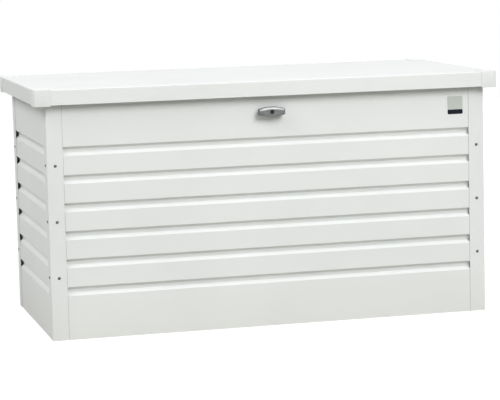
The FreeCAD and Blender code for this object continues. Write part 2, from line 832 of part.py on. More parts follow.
def lid_stiffener(label, middle):
    """Hat-shaped profile bonded under the lid sheet."""
    body = new_body(label)
    outer = "stiffener_half_width"
    crown = "(stiffener_crown / 2)"
    wall = "stiffener_thickness"
    under = "lid_underside"
    section = [
        (f"{middle} - {outer}", under),
        (f"{middle} - {outer}", f"{under} - {wall}"),
        (f"{middle} - {crown}", f"{under} - {wall}"),
        (f"{middle} - {crown}", "stiffener_bottom"),
        (f"{middle} + {crown}", "stiffener_bottom"),
        (f"{middle} + {crown}", f"{under} - {wall}"),
        (f"{middle} + {outer}", f"{under} - {wall}"),
        (f"{middle} + {outer}", under),
        (f"{middle} + {crown} - {wall}", under),
        (f"{middle} + {crown} - {wall}", f"stiffener_bottom + {wall}"),
        (f"{middle} - {crown} + {wall}", f"stiffener_bottom + {wall}"),
        (f"{middle} - {crown} + {wall}", under),
    ]
    prism(body, f"{label}_section", "YZ_Plane", section, "-stiffener_length / 2",
          "stiffener_length / 2")
    return body


def lid_cap(label, side_x, side_y):
    """Moulded cap over a corner of the lid, with a lip under the rim."""
    body = new_body(label)

    def corner(from_side, from_front):
        return (f"{side_x} * (lid_width / 2 - ({from_side}))",
                f"{side_y} * (lid_depth / 2 - ({from_front}))")

    def from_corner(start, end_x, end_y):
        return [corner(start, start), corner(end_x, start), corner(end_x, end_y),
                corner(start, end_y)]

    def rounded(name, base, inset):
        return round_edges(body, name, base, upright_at(corner(inset, inset)),
                           f"cap_corner_radius - {inset}")

    bottom = "(rim_bottom - cap_lip_drop)"
    past_x = "(cap_front_length + cut_overrun)"
    past_y = "(cap_side_length + cut_overrun)"
    lip = "(cap_wall + lid_sheet_thickness)"
    prism(body, f"{label}_blank", "XY_Plane",
          from_corner("0", "cap_front_length", "cap_side_length"), bottom, "box_height")
    mouth = prism(body, f"{label}_mouth", "XY_Plane", from_corner(lip, past_x, past_y),
                  f"{bottom} - cut_overrun", "sheet_top", "Pocket")
    rounded(f"{label}_mouth_round", mouth, lip)
    seat = prism(body, f"{label}_seat", "XY_Plane", from_corner("cap_wall", past_x, past_y),
                 "rim_bottom", "sheet_top", "Pocket")
    seat_round = rounded(f"{label}_seat_round", seat, "cap_wall")
    outside = rounded(f"{label}_outer_round", seat_round, "0")
    top = value_of("box_height")
    side_face = value_of("lid_width / 2")
    front_face = value_of("lid_depth / 2")

    def is_top_rim(edge):
        box = edge.BoundBox
        on_side = abs(abs(box.XMin) - side_face) < 0.001 and box.XLength < 0.001
        on_front = abs(abs(box.YMin) - front_face) < 0.001 and box.YLength < 0.001
        bend = box.XLength > 1 and box.YLength > 1
        return box.ZMin > top - 0.001 and (on_side or on_front or bend)

    round_edges(body, f"{label}_edge_round", outside, is_top_rim, "cap_edge_radius")
    return body


def lid_buffers():
    """Rubber buffers on the side rails, under the closed lid."""
    length = "lid_underside - case_height - fit_gap"
    buffers = [rod_piece(f"lid_buffer_{number}", "buffer_diameter", length, "+Z",
                         f"{side_x} * (wall_x - top_rail_width / 2)",
                         f"{side_y} * (wall_y - buffer_setback)", "case_height")
               for number, (side_x, side_y) in enumerate(
                   ((-1, -1), (1, -1), (-1, 1), (1, 1)))]
    return group("lid_buffers", buffers)


# Gas struts, drawn upright from the lower stud and then leaned back

def strut_tube(label, side):
    """Pressure tube with its lower eye, open at the top where the rod slides in."""
    bore = "strut_tube_diameter - 2 * strut_tube_wall"
    neck_top = "strut_neck_length"
    eye = rod_piece(f"{label}_eye", "strut_eye_diameter", "strut_eye_width", "+X",
                    "-strut_eye_width / 2", "0", "0")
    neck = rod_piece(f"{label}_neck", "strut_neck_diameter", f"{neck_top} + cut_overrun", "+Z",
                     "0", "0", "0")
    barrel = rod_piece(f"{label}_barrel", "strut_tube_diameter",
                       f"strut_tube_length - {neck_top}", "+Z", "0", "0", neck_top)
    outside = join(f"{label}_outside", [eye, neck, barrel])
    floor = f"({neck_top} + strut_tube_wall)"
    cavity = rod_piece(f"{label}_cavity", bore,
                       f"strut_tube_length - strut_guide_height - {floor}", "+Z", "0", "0", floor)
    guide = rod_piece(f"{label}_guide", "strut_rod_diameter + 2 * fit_gap",
                      f"strut_tube_length - {floor}", "+Z", "0", "0", floor)
    stud_hole = rod_piece(f"{label}_stud_hole", "strut_stud_diameter + 2 * running_gap",
                          "strut_eye_width", "+X", "-strut_eye_width / 2", "0", "0")
    tube = cut(label, outside, join(f"{label}_hollow", [cavity, guide, stud_hole]))
    return place(tube, f"{side} * strut_x", "strut_low_y", "strut_low_z", AXIS_X, "strut_tilt")


def strut_rod(label, side):
    """Piston rod with its piston inside the tube and its eye on the lid's stud."""
    start = "(strut_length - strut_rod_length)"
    eye = rod_piece(f"{label}_eye", "strut_eye_diameter", "strut_eye_width", "+X",
                    "-strut_eye_width / 2", "0", "strut_length")
    neck = rod_piece(f"{label}_neck", "strut_neck_diameter", "strut_neck_length", "+Z",
                     "0", "0", "strut_length - strut_neck_length")
    rod = rod_piece(f"{label}_rod", "strut_rod_diameter", "strut_rod_length - cut_overrun", "+Z",
                    "0", "0", start)
    piston = rod_piece(f"{label}_piston",
                       "strut_tube_diameter - 2 * strut_tube_wall - 2 * fit_gap",
                       "strut_guide_height", "+Z", "0", "0", start)
    outside = join(f"{label}_outside", [eye, neck, rod, piston])
    stud_hole = rod_piece(f"{label}_stud_hole", "strut_stud_diameter + 2 * running_gap",
                          "strut_eye_width", "+X", "-strut_eye_width / 2", "0", "strut_length")
    item = cut(label, outside, stud_hole)
    return place(item, f"{side} * strut_x", "strut_low_y", "strut_low_z", AXIS_X, "strut_tilt")


def strut_stud(name, side, back, up):
    """Stud through an eye, with a flat head on its inner end."""
    direction = "-X" if side > 0 else "+X"
    plate_face = f"{side} * (strut_x + strut_eye_width / 2 + fit_gap)"
    pin = rod_piece(f"{name}_pin", "strut_stud_diameter",
                    "strut_eye_width + 2 * fit_gap", direction, plate_face, back, up)
    head_start = f"{side} * (strut_x - strut_eye_width / 2 - fit_gap)"
    head = rod_piece(f"{name}_head", "strut_stud_head_diameter", "strut_stud_head_height",
                     direction, head_start, back, up)
    return [pin, head]


def strut_case_bracket(label, side):
    """Strip across the backs of two grooves with a standing box for the lower stud."""
    strip_back = "(wall_x - groove_depth - panel_thickness)"
    plate = "strut_plate_thickness"
    front = "(strut_x + strut_eye_width / 2 + fit_gap)"
    half = "strut_plate_width / 2"

    def slab(name, inner, outer, y_half, z_half):
        limits = sorted((f"{side} * ({inner})", f"{side} * ({outer})"), key=value_of)
        return block(name, *limits, f"strut_low_y - {y_half}", f"strut_low_y + {y_half}",
                     f"strut_low_z - {z_half}", f"strut_low_z + {z_half}")

    strip = slab(f"{label}_strip", f"{strip_back} - {plate}", strip_back, half,
                 "strut_strip_height / 2")
    box = slab(f"{label}_box", front, f"{strip_back} - {plate}", half, half)
    hollow = slab(f"{label}_hollow", f"{front} + {plate}", f"{strip_back} - {plate}",
                  f"({half} - {plate})", f"({half} + cut_overrun)")
    frame = cut(f"{label}_frame", box, hollow)
    return join(label, [strip, frame, *strut_stud(label, side, "strut_low_y", "strut_low_z")])


def strut_lid_bracket(label, side):
    """Angle under the lid sheet whose cheek carries the upper stud."""
    plate = "strut_plate_thickness"
    front = "(strut_x + strut_eye_width / 2 + fit_gap)"
    half = "strut_plate_width / 2"
    y_low, y_high = f"strut_top_y - {half}", f"strut_top_y + {half}"
    cheek_x = sorted((f"{side} * {front}", f"{side} * ({front} + {plate})"), key=value_of)
    foot_x = sorted((f"{side} * ({front} + {plate})",
                     f"{side} * ({front} + {plate} - strut_lid_foot)"), key=value_of)
    cheek = block(f"{label}_cheek", *cheek_x, y_low, y_high,
                  "strut_top_z - strut_eye_diameter / 2", "lid_underside")
    foot = block(f"{label}_foot", *foot_x, y_low, y_high, f"lid_underside - {plate}",
                 "lid_underside")
    return join(label, [cheek, foot, *strut_stud(label, side, "strut_top_y", "strut_top_z")])


# Turn handle, lock and lock rods; depths are measured behind the front panel's face

def at_depth(depth):
    return f"-wall_y + ({depth})"


def lock_housing():
    """Flanged bush through the front panel that the handle's shaft turns in."""
    flange = rod_piece("lock_housing_flange", "lock_flange_diameter", "lock_flange_thickness",
                       "+Y", "0", at_depth("-lock_flange_thickness"), "lock_height")
    barrel = rod_piece("lock_housing_barrel", "lock_body_diameter", "lock_body_length", "+Y",
                       "0", at_depth("0"), "lock_height")
    bore = rod_piece("lock_housing_bore", "handle_shaft_diameter + 2 * running_gap",
                     "lock_flange_thickness + lock_body_length", "+Y", "0",
                     at_depth("-lock_flange_thickness"), "lock_height")
    return cut("lock_housing", join("lock_housing_outside", [flange, barrel]), bore)


def lock_nut():
    point = ("0", at_depth("panel_thickness"), "lock_height")
    return hexagon_nut("lock_nut", "+Y", point, "lock_nut_across_flats", "lock_nut_height",
                       "lock_body_diameter + 2 * running_gap")


def handle_grip():
    """Boat-shaped grip: the space shared by two large cylinders and a block."""
    rise = "((grip_middle_height - grip_end_height) / 2)"
    bow = f"(((grip_length / 2) ^ 2 + {rise} ^ 2) / (2 * {rise}))"
    front = at_depth("-handle_reach")
    shift = f"({bow} - grip_middle_height / 2)"
    upper = rod_piece("grip_upper_bow", f"2 * {bow}", "grip_depth", "+Y", "0", front,
                      f"lock_height - {shift}")
    lower = rod_piece("grip_lower_bow", f"2 * {bow}", "grip_depth", "+Y", "0", front,
                      f"lock_height + {shift}")
    ends = block("grip_ends", "-grip_length / 2", "grip_length / 2", front,
                 f"{front} + grip_depth", "lock_height - grip_middle_height / 2",
                 "lock_height + grip_middle_height / 2")
    lens = doc.addObject("Part::MultiCommon", "grip_lens")
    lens.Shapes = [upper, lower, ends]
    doc.recompute()
    grip = new_body("handle_grip")
    grip.BaseFeature = lens
    doc.recompute()
    round_edges(grip, "grip_rounding", grip.Group[0], lambda edge: True, "grip_edge_radius")
    return grip


def t_handle():
    """Grip, neck and shaft cast in one, bored for the key plug and tapped for the cam."""
    neck = rod_piece("handle_neck", "handle_neck_diameter",
                     "handle_reach - grip_depth / 2 - lock_flange_thickness - fit_gap", "+Y",
                     "0", at_depth("-handle_reach + grip_depth / 2"), "lock_height")
    shaft_start = "(lock_flange_thickness + fit_gap)"
    shaft = rod_piece("handle_shaft", "handle_shaft_diameter", f"{shaft_start} + cam_face",
                      "+Y", "0", at_depth(f"-{shaft_start}"), "lock_height")
    stub = rod_piece("handle_stub", "cam_stub_diameter", "cam_thickness", "+Y", "0",
                     at_depth("cam_face"), "lock_height")
    outside = join("handle_outside", [handle_grip(), neck, shaft, stub])
    plug_hole = rod_piece("handle_plug_hole", "plug_diameter + 2 * running_gap",
                          "plug_length + cut_overrun", "+Y", "0",
                          at_depth("-handle_reach - cut_overrun"),
                          "lock_height")
    thread = rod_piece("handle_thread", "cam_screw_diameter + 2 * running_gap",
                       "cam_screw_length", "-Y", "0", at_depth("cam_face + cam_thickness"),
                       "lock_height")
    return cut("t_handle", outside, join("handle_holes", [plug_hole, thread]))


def key_plug():
    """Lock cylinder's plug in the grip, with its keyway."""
    plug = rod_piece("plug_round", "plug_diameter", "plug_length - fit_gap", "+Y", "0",
                     at_depth("-handle_reach"), "lock_height")
    keyway = block("plug_keyway", "-keyway_width / 2", "keyway_width / 2",
                   at_depth("-handle_reach - cut_overrun"),
                   at_depth("-handle_reach + keyway_depth"),
                   "lock_height - keyway_height / 2", "lock_height + keyway_height / 2")
    return cut("key_plug", plug, keyway)


def lock_cam():
    """Disc on the handle's shaft with two driving pins, one for each rod."""
    disc = rod_piece("cam_disc", "cam_diameter", "cam_thickness", "+Y", "0",
                     at_depth("cam_face"), "lock_height")
    reach = "cam_thickness + rod_cam_space + rod_thickness + cam_pin_end"
    pins = [rod_piece(f"cam_pin_{name}", "cam_pin_diameter", reach, "+Y",
                      f"{sign} * pin_offset", at_depth("cam_face"),
                      f"lock_height - {sign} * pin_offset")
            for name, sign in (("upper", -1), ("lower", 1))]
    bore = rod_piece("cam_bore", "cam_stub_diameter + 2 * running_gap", "cam_thickness", "+Y",
                     "0", at_depth("cam_face"), "lock_height")
    return cut("lock_cam", join("cam_outside", [disc, *pins]), bore)


def cam_screw():
    point = ("0", at_depth("cam_face + cam_thickness"), "lock_height")
    return fastener("cam_screw", "-Y", point, "cam_screw_diameter", "cam_screw_length - cut_overrun",
                    "cam_screw_head_diameter", "cam_screw_head_height")


def lock_rod(label, side):
    """Flat rod that a cam pin drives outward through the guides to its keeper."""
    body = new_body(label)
    middle = f"(lock_height + {side} * rod_centre_height)"
    inner = f"-{side} * (pin_offset + rod_end_margin)"
    outer = f"{side} * (keeper_position - rod_tip_gap)"
    ends = sorted((inner, outer), key=value_of)
    low, high = at_depth("rod_face"), at_depth("rod_face + rod_thickness")
    bar = rectangle(*ends, f"{middle} - rod_height / 2", f"{middle} + rod_height / 2")
    prism(body, f"{label}_bar", "XZ_Plane", bar, low, high)
    half = "(cam_pin_diameter / 2 + pin_slot_gap)"
    pin_x = f"-{side} * pin_offset"
    near = f"lock_height + {side} * (pin_offset - {half})"
    far = f"lock_height + {side} * (cam_pin_circle / 2 + {half})"
    slot_ends = sorted((near, far), key=value_of)
    slot = rectangle(f"{pin_x} - {half}", f"{pin_x} + {half}", *slot_ends)
    prism(body, f"{label}_slot", "XZ_Plane", slot, low, high, "Pocket")
    return body


def rod_guide(name, side, position):
    """Angle bonded to the front panel with a window that the rod slides through."""
    body = new_body(name)
    across = f"{side} * {position}"
    middle = f"(lock_height + {side} * rod_centre_height)"
    low_z, high_z = f"{middle} - guide_height / 2", f"{middle} + guide_height / 2"
    start = at_depth("panel_thickness")
    end = at_depth("rod_face + rod_thickness + guide_height / 2 - rod_height / 2")
    cheek = rectangle(start, end, low_z, high_z)
    half = "guide_thickness / 2"
    prism(body, f"{name}_cheek", "YZ_Plane", cheek, f"{across} - {half}", f"{across} + {half}")
    foot = rectangle(start, f"{start} + guide_thickness", low_z, high_z)
    prism(body, f"{name}_foot", "YZ_Plane", foot, f"{across} - {half}",
          f"{across} - {half} + guide_foot")
    window = rectangle(at_depth("rod_face - fit_gap"),
                       at_depth("rod_face + rod_thickness + fit_gap"),
                       f"{middle} - rod_height / 2 - fit_gap",
                       f"{middle} + rod_height / 2 + fit_gap")
    prism(body, f"{name}_window", "YZ_Plane", window, f"{across} - {half}",
          f"{across} + {half}", "Pocket")
    return body


def rod_guides():
    guides = [rod_guide(f"rod_guide_{name}_{at}", side, position)
              for name, side in (("left", -1), ("right", 1))
              for at, position in (("near", "guide_near_position"), ("far", "guide_far_position"))]
    return group("rod_guides", guides)


def lock_keeper(label, side):
    """Angle hanging from the front stiffener, slotted for the rod's end."""
    body = new_body(label)
    middle = f"(lock_height + {side} * rod_centre_height)"
    low_y = at_depth("rod_middle - keeper_width / 2")
    high_y = at_depth("rod_middle + keeper_width / 2")
    faces = sorted((f"{side} * keeper_position",
                    f"{side} * (keeper_position + keeper_thickness)"), key=value_of)
    hanger = rectangle(low_y, high_y, f"{middle} - rod_height / 2 - keeper_tail",
                       "stiffener_bottom")
    prism(body, f"{label}_hanger", "YZ_Plane", hanger, *faces)
    foot_ends = sorted((f"{side} * (keeper_position + keeper_thickness)",
                        f"{side} * (keeper_position + keeper_thickness + keeper_foot)"),
                       key=value_of)
    foot = rectangle(low_y, high_y, "stiffener_bottom - keeper_thickness", "stiffener_bottom")
    prism(body, f"{label}_foot", "YZ_Plane", foot, *foot_ends)
    slot = rectangle(at_depth("rod_face - keeper_slot_gap"),
                     at_depth("rod_face + rod_thickness + keeper_slot_gap"),
                     f"{middle} - rod_height / 2 - keeper_slot_gap",
                     f"{middle} + rod_height / 2 + keeper_slot_gap")
    prism(body, f"{label}_slot", "YZ_Plane", slot, *faces, "Pocket")
    return body


def label_plate():
    """Plain plate bonded to the front panel beside the right-hand post."""
    body = new_body("label_plate")
    right = "(body_width / 2 - post_flange - plate_post_gap)"
    outline = rectangle(f"{right} - plate_width", right,
                        "plate_centre_height - plate_height / 2",
                        "plate_centre_height + plate_height / 2")
    blank = prism(body, "label_plate_blank", "XZ_Plane", outline,
                  at_depth("-plate_thickness"), at_depth("0"))
    thickness = value_of("plate_thickness")

    def is_corner(edge):
        box = edge.BoundBox
        return abs(box.YLength - thickness) < 0.001 and box.XLength < 0.001 and box.ZLength < 0.001

    round_edges(body, "label_plate_corners", blank, is_corner, "plate_corner_radius")
    return body


# The whole box

def build_all():
    """Every named piece, in the order in which the box goes together."""
    corners = [("front_left", -1, -1), ("front_right", 1, -1),
               ("rear_left", -1, 1), ("rear_right", 1, 1)]
    walls = [("front", "Y", -1), ("rear", "Y", 1), ("left", "X", -1), ("right", "X", 1)]
    sides = [("left", -1), ("right", 1)]
    pieces = [front_panel(), rear_panel(), wall_panel("left_panel", "X", -1),
              wall_panel("right_panel", "X", 1)]
    pieces += [corner_post(f"corner_post_{name}", x, y) for name, x, y in corners]
    pieces += [post_screws(), post_nuts()]
    pieces += [top_rail(f"top_rail_{name}", normal, side) for name, normal, side in walls]
    pieces += [base_rail(f"base_rail_{name}", normal, side) for name, normal, side in walls]
    pieces += [floor_panel(), floor_screws()]
    pieces += [hinge_case_leaf(name, centre) for name, centre in hinge_centres()]
    pieces += [hinge_lid_leaf(name, centre) for name, centre in hinge_centres()]
    pieces += [hinge_pins(), hinge_case_rivets(), hinge_lid_rivets(), lid_sheet()]
    pieces += [lid_stiffener("lid_stiffener_front", "front_stiffener_y"),
               lid_stiffener("lid_stiffener_middle", "0"),
               lid_stiffener("lid_stiffener_rear", "-front_stiffener_y")]
    pieces += [lid_cap(f"lid_cap_{name}", x, y) for name, x, y in corners]
    pieces += [lid_buffers()]
    for name, side in sides:
        pieces += [strut_tube(f"strut_tube_{name}", side),
                   strut_rod(f"strut_rod_{name}", side),
                   strut_case_bracket(f"strut_case_bracket_{name}", side),
                   strut_lid_bracket(f"strut_lid_bracket_{name}", side)]
    pieces += [lock_housing(), lock_nut(), t_handle(), key_plug(), lock_cam(), cam_screw()]
    for name, side in sides:
        pieces += [lock_rod(f"lock_rod_{name}", side), lock_keeper(f"lock_keeper_{name}", side)]
    pieces += [rod_guides(), label_plate()]
    return pieces


pieces = build_all()
doc.recompute()

for item in doc.Objects:
    if "Invalid" in item.State or "Error" in item.State:
        raise RuntimeError(f"{item.Label} could not be worked out: {item.State}")
for piece in pieces:
    if piece.Shape.isNull() or not piece.Shape.isValid():
        raise RuntimeError(f"{piece.Label} has no sound shape")

os.makedirs("parts", exist_ok=True)
for piece in pieces:
    piece.Shape.exportStep(f"parts/{piece.Label}.step")
    print(piece.Label, len(piece.Shape.Solids), round(piece.Shape.Volume, 1))
print(len(pieces), "pieces written")
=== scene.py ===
import itertools
import math

import bpy
import numpy as np
from mathutils import Matrix


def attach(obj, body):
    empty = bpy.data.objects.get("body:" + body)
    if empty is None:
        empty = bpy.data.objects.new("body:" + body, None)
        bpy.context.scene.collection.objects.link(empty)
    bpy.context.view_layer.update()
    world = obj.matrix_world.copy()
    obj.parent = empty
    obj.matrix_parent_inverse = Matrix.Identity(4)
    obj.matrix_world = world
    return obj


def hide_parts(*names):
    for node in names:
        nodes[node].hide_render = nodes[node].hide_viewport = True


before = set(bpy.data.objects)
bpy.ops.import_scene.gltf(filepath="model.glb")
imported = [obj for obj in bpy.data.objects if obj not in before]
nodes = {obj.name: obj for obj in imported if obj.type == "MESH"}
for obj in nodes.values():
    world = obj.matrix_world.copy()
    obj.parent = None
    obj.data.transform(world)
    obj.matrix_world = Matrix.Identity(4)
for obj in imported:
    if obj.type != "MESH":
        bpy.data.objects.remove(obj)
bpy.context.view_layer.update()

# Wall panels
# Four walls of coated sheet steel, rolled with six level grooves each. A groove has a
# lip that slopes back, an upright back and a sill that slopes out again, joined by bends
# of about 2 mm. The front one has a round hole for the lock.

SHEET = 0.0008
WALL_TOP = 0.8108
GROOVE_PITCH = 0.0925
GROOVE_TOPS = 0.6384 - GROOVE_PITCH * np.arange(5, -1, -1)
GROOVE_HEIGHT = 0.0289
GROOVE_DEPTH = 0.0115
GROOVE_BEND = 0.0021
LIP_DROP = 0.007
SILL_RISE = 0.009
WALL_FRONT = -0.3658
WALL_RIGHT = 0.7543
# Direction across the wall, place of its outer face and half its length
WALLS = {"front": ("y", WALL_FRONT, 0.740), "rear": ("y", -WALL_FRONT, 0.740),
         "left": ("x", -WALL_RIGHT, 0.3507), "right": ("x", WALL_RIGHT, 0.3507)}
POST_FACE = np.array([0.7555, 0.367])
POST_FLANGE = 0.0536
LOCK_LEVEL = 0.724
LOCK_HOLE_RADIUS = 0.01105
CREASE = 38


def bent_line(corners, radius, steps=5, lead=0.0015):
    """Line through corners, each rounded by an arc of the radius.

    The arc starts radius * tan(turn / 2) before its corner and turns about a centre one
    radius to the inner side. A point lies lead before and after it, to keep the runs flat.
    """
    corners = np.asarray(corners, float)
    runs = np.diff(corners, axis=0)
    runs /= np.linalg.norm(runs, axis=1, keepdims=True)
    parts = [corners[:1]]
    for before, after, corner in zip(runs[:-1], runs[1:], corners[1:-1]):
        turn = math.atan2(before[0] * after[1] - before[1] * after[0], before @ after)
        reach = radius * math.tan(abs(turn) / 2)
        start = corner - before * reach
        centre = start + np.array([-before[1], before[0]]) * math.copysign(radius, turn)
        angle = np.linspace(0, turn, steps + 1)[:, None]
        arm = start - centre
        arc = centre + arm * np.cos(angle) + np.array([-arm[1], arm[0]]) * np.sin(angle)
        parts += [(start - before * lead)[None], arc, (corner + after * (reach + lead))[None]]
    parts.append(corners[-1:])
    return np.vstack(parts)


def beside(line, distance):
    """Line parallel to another: each point moves along the mean normal of its two runs,
    by the distance over the cosine of half the turn."""
    runs = np.diff(line, axis=0)
    runs /= np.linalg.norm(runs, axis=1, keepdims=True)
    normals = np.stack([-runs[:, 1], runs[:, 0]], axis=1)
    first = np.vstack([normals[:1], normals])
    second = np.vstack([normals, normals[-1:]])
    mean = first + second
    mean /= np.linalg.norm(mean, axis=1, keepdims=True)
    return line + mean * (distance / np.sum(mean * first, axis=1))[:, None]


def surface(name, points, faces, inside=(0, 0, 0), crease=CREASE):
    """Mesh object from points and faces, smooth up to the crease angle. The faces are turned
    over together where the volume between them and the inside point comes out negative."""
    points = np.asarray(points, float).reshape(-1, 3)
    mesh = bpy.data.meshes.new(name)
    mesh.from_pydata(points.tolist(), [], [list(map(int, face)) for face in faces])
    mesh.calc_loop_triangles()
    corners = np.empty(3 * len(mesh.loop_triangles), np.int32)
    mesh.loop_triangles.foreach_get("vertices", corners)
    a, b, c = np.moveaxis((points - np.asarray(inside, float))[corners.reshape(-1, 3)], 1, 0)
    if np.einsum("ij,ij->", a, np.cross(b, c)) < 0:
        mesh.flip_normals()
    mesh.shade_smooth()
    mesh.set_sharp_from_angle(angle=math.radians(crease))
    item = bpy.data.objects.new(name, mesh)
    bpy.context.scene.collection.objects.link(item)
    return item


def folded_sheet(line, thickness, stations, place):
    """Points and faces of a closed sheet: a section line and its parallel one thickness
    away, carried along stations. place(a, b, s) gives x, y, z for a point of the section."""
    loop = np.vstack([line, beside(line, thickness)[::-1]])
    count, half = len(loop), len(line)
    across, along = np.broadcast_arrays(loop[None, :, 0], np.asarray(stations)[:, None])
    up = np.broadcast_to(loop[None, :, 1], across.shape)
    points = np.stack(np.broadcast_arrays(*place(across, up, along)), axis=-1)
    index = np.arange(points.shape[0] * count).reshape(-1, count)
    a, b = index[:-1], index[1:]
    walls = np.stack([a, np.roll(a, -1, 1), np.roll(b, -1, 1), b], axis=-1).reshape(-1, 4)
    k = np.arange(half - 1)
    near, far = index[0], index[-1]
    ends = [np.stack([near[k + 1], near[k], near[count - 1 - k], near[count - 2 - k]], axis=-1),
            np.stack([far[k], far[k + 1], far[count - 2 - k], far[count - 1 - k]], axis=-1)]
    return points.reshape(-1, 3), np.vstack([walls, *ends])


def tone(red, green, blue):
    """Screen colour, 0 to 255, as the linear colour that a shader takes."""
    value = np.array([red, green, blue]) / 255
    linear = np.where(value <= 0.04045, value / 12.92, ((value + 0.055) / 1.055) ** 2.4)
    return (*linear.tolist(), 1.0)


def wired(tree, kind, links=None, **settings):
    """New node with its settings, and links from sockets of other nodes to its inputs."""
    node = tree.nodes.new(kind)
    for key, value in settings.items():
        setattr(node, key, value)
    for socket, value in (links or {}).items():
        if isinstance(value, bpy.types.NodeSocket):
            tree.links.new(value, node.inputs[socket])
        else:
            node.inputs[socket].default_value = value
    return node


def blank_material(name, metallic, specular=0.5):
    """New material with its tree and the coordinates of the object."""
    material = bpy.data.materials.new(name)
    material.use_nodes = True
    tree = material.node_tree
    shader = tree.nodes["Principled BSDF"]
    shader.inputs["Metallic"].default_value = metallic
    shader.inputs["Specular IOR Level"].default_value = specular
    return material, tree, tree.nodes.new("ShaderNodeTexCoord").outputs["Object"]


def finished(material, colour, roughness, normal):
    """Material whose shader takes its colour, roughness and relief from sockets."""
    shader = material.node_tree.nodes["Principled BSDF"]
    for socket, value in (("Base Color", colour), ("Roughness", roughness), ("Normal", normal)):
        material.node_tree.links.new(value, shader.inputs[socket])
    return material


def noise(tree, place, scale, detail):
    """Factor of a soft noise that has so many waves in a metre."""
    waves = {"Vector": place, "Scale": scale, "Detail": detail}
    return wired(tree, "ShaderNodeTexNoise", waves).outputs["Fac"]


def computed(tree, operation, *values):
    """Result of one step of arithmetic on sockets or numbers."""
    return wired(tree, "ShaderNodeMath", dict(enumerate(values)), operation=operation).outputs[0]


def two_tone(tree, factor, first, second):
    """Colour that moves from first to second with the factor."""
    mix = wired(tree, "ShaderNodeMix", {"Factor": factor, 6: first, 7: second}, data_type="RGBA")
    return mix.outputs[2]


def ranged(tree, value, low, high, to_low, to_high):
    """Value carried from one range to another, and held within it."""
    limits = {"Value": value, "From Min": low, "From Max": high,
              "To Min": to_low, "To Max": to_high}
    return wired(tree, "ShaderNodeMapRange", limits).outputs["Result"]


def raised(tree, height, strength, distance):
    """Normal of a fine relief."""
    relief = {"Height": height, "Strength": strength, "Distance": distance}
    return wired(tree, "ShaderNodeBump", relief).outputs["Normal"]


DUST_TOP = 0.16
COLOUR_BLUR = 0.0003
# Colour of the painted shade line on the wall along each post's edge
SEAM_SHADE = tone(158, 159, 153)
# Width of the painted shade line beside the post's edge and its depth behind the wall's face
SEAM_SHADE_REACH = (0.0012, 0.0006)


def coated_steel(name, light, dark, low_dust, roughness, shaded_seam=None):
    """Baked coat on sheet steel: fine orange-peel grain, cloudy patches and a little dust that
    fades out above the ground. Where axis and distance of a post's edge and of the wall's face
    are given, a fine dark line of painted shade lies on the face along that edge."""
    material, tree, place = blank_material(name, 0.0, 0.12)
    clouds = noise(tree, place, 2.3, 3)
    grain = noise(tree, place, 900, 2)
    specks = noise(tree, place, 260, 4)
    point = wired(tree, "ShaderNodeSeparateXYZ", {"Vector": place}).outputs
    colour = two_tone(tree, ranged(tree, clouds, 0.35, 0.65, 0, 1), light, dark)
    dust = computed(tree, "MULTIPLY", ranged(tree, point["Z"], 0, DUST_TOP, 0.5, 0), specks)
    colour = two_tone(tree, dust, colour, low_dust)
    # Painted shade: a dark line on the wall's face beside the post's edge
    if shaded_seam:
        reached = [ranged(tree, computed(tree, "ABSOLUTE", point[axis]), distance - reach,
                          distance - reach + COLOUR_BLUR, 0, 1)
                   for (axis, distance), reach in zip(shaded_seam, SEAM_SHADE_REACH)]
        colour = two_tone(tree, computed(tree, "MULTIPLY", *reached), colour, SEAM_SHADE)
    return finished(material, colour,
                    ranged(tree, specks, 0.3, 0.7, roughness - 0.05, roughness + 0.07),
                    raised(tree, grain, 0.12, 0.00006))


def wall_section():
    """Depth behind the wall's face and height of the rolled line, from the ground up."""
    sill = GROOVE_TOPS - GROOVE_HEIGHT
    deep = np.full_like(sill, GROOVE_DEPTH)
    face = np.zeros_like(sill)
    grooves = np.stack([np.stack([face, sill], 1), np.stack([deep, sill + SILL_RISE], 1),
                        np.stack([deep, GROOVE_TOPS - LIP_DROP], 1),
                        np.stack([face, GROOVE_TOPS], 1)], axis=1).reshape(-1, 2)
    return bent_line(np.vstack([[[0, 0]], grooves, [[0, WALL_TOP]]]), GROOVE_BEND)


def bored(item, centre, radius, turns=48, reach=0.005):
    """Round hole through a piece from front to back, cut with a many-sided bar that is then
    thrown away. None of the bar's edges lies on the middle line, where the sheet has one."""
    k = np.arange(turns)
    angle = (k + 0.5) * 2 * math.pi / turns
    ring = np.stack([np.cos(angle), np.zeros(turns), np.sin(angle)], axis=1) * radius
    ends = np.array([[0, -reach, 0], [0, reach, 0]])
    points = (ring[None] + ends[:, None]).reshape(-1, 3) + centre
    after = (k + 1) % turns
    sides = np.stack([k, after, after + turns, k + turns], axis=1).tolist()
    bar = surface("bar", points, [*sides, k[::-1], k + turns], inside=centre)
    hole = item.modifiers.new("hole", "BOOLEAN")
    hole.operation, hole.object, hole.solver = "DIFFERENCE", bar, "EXACT"
    whole = item.data
    shaped = item.evaluated_get(bpy.context.evaluated_depsgraph_get())
    item.data = bpy.data.meshes.new_from_object(shaped)
    item.modifiers.clear()
    item.data.name = whole.name
    bpy.data.meshes.remove(whole)
    bpy.data.objects.remove(bar)
    item.data.set_sharp_from_angle(angle=math.radians(CREASE))


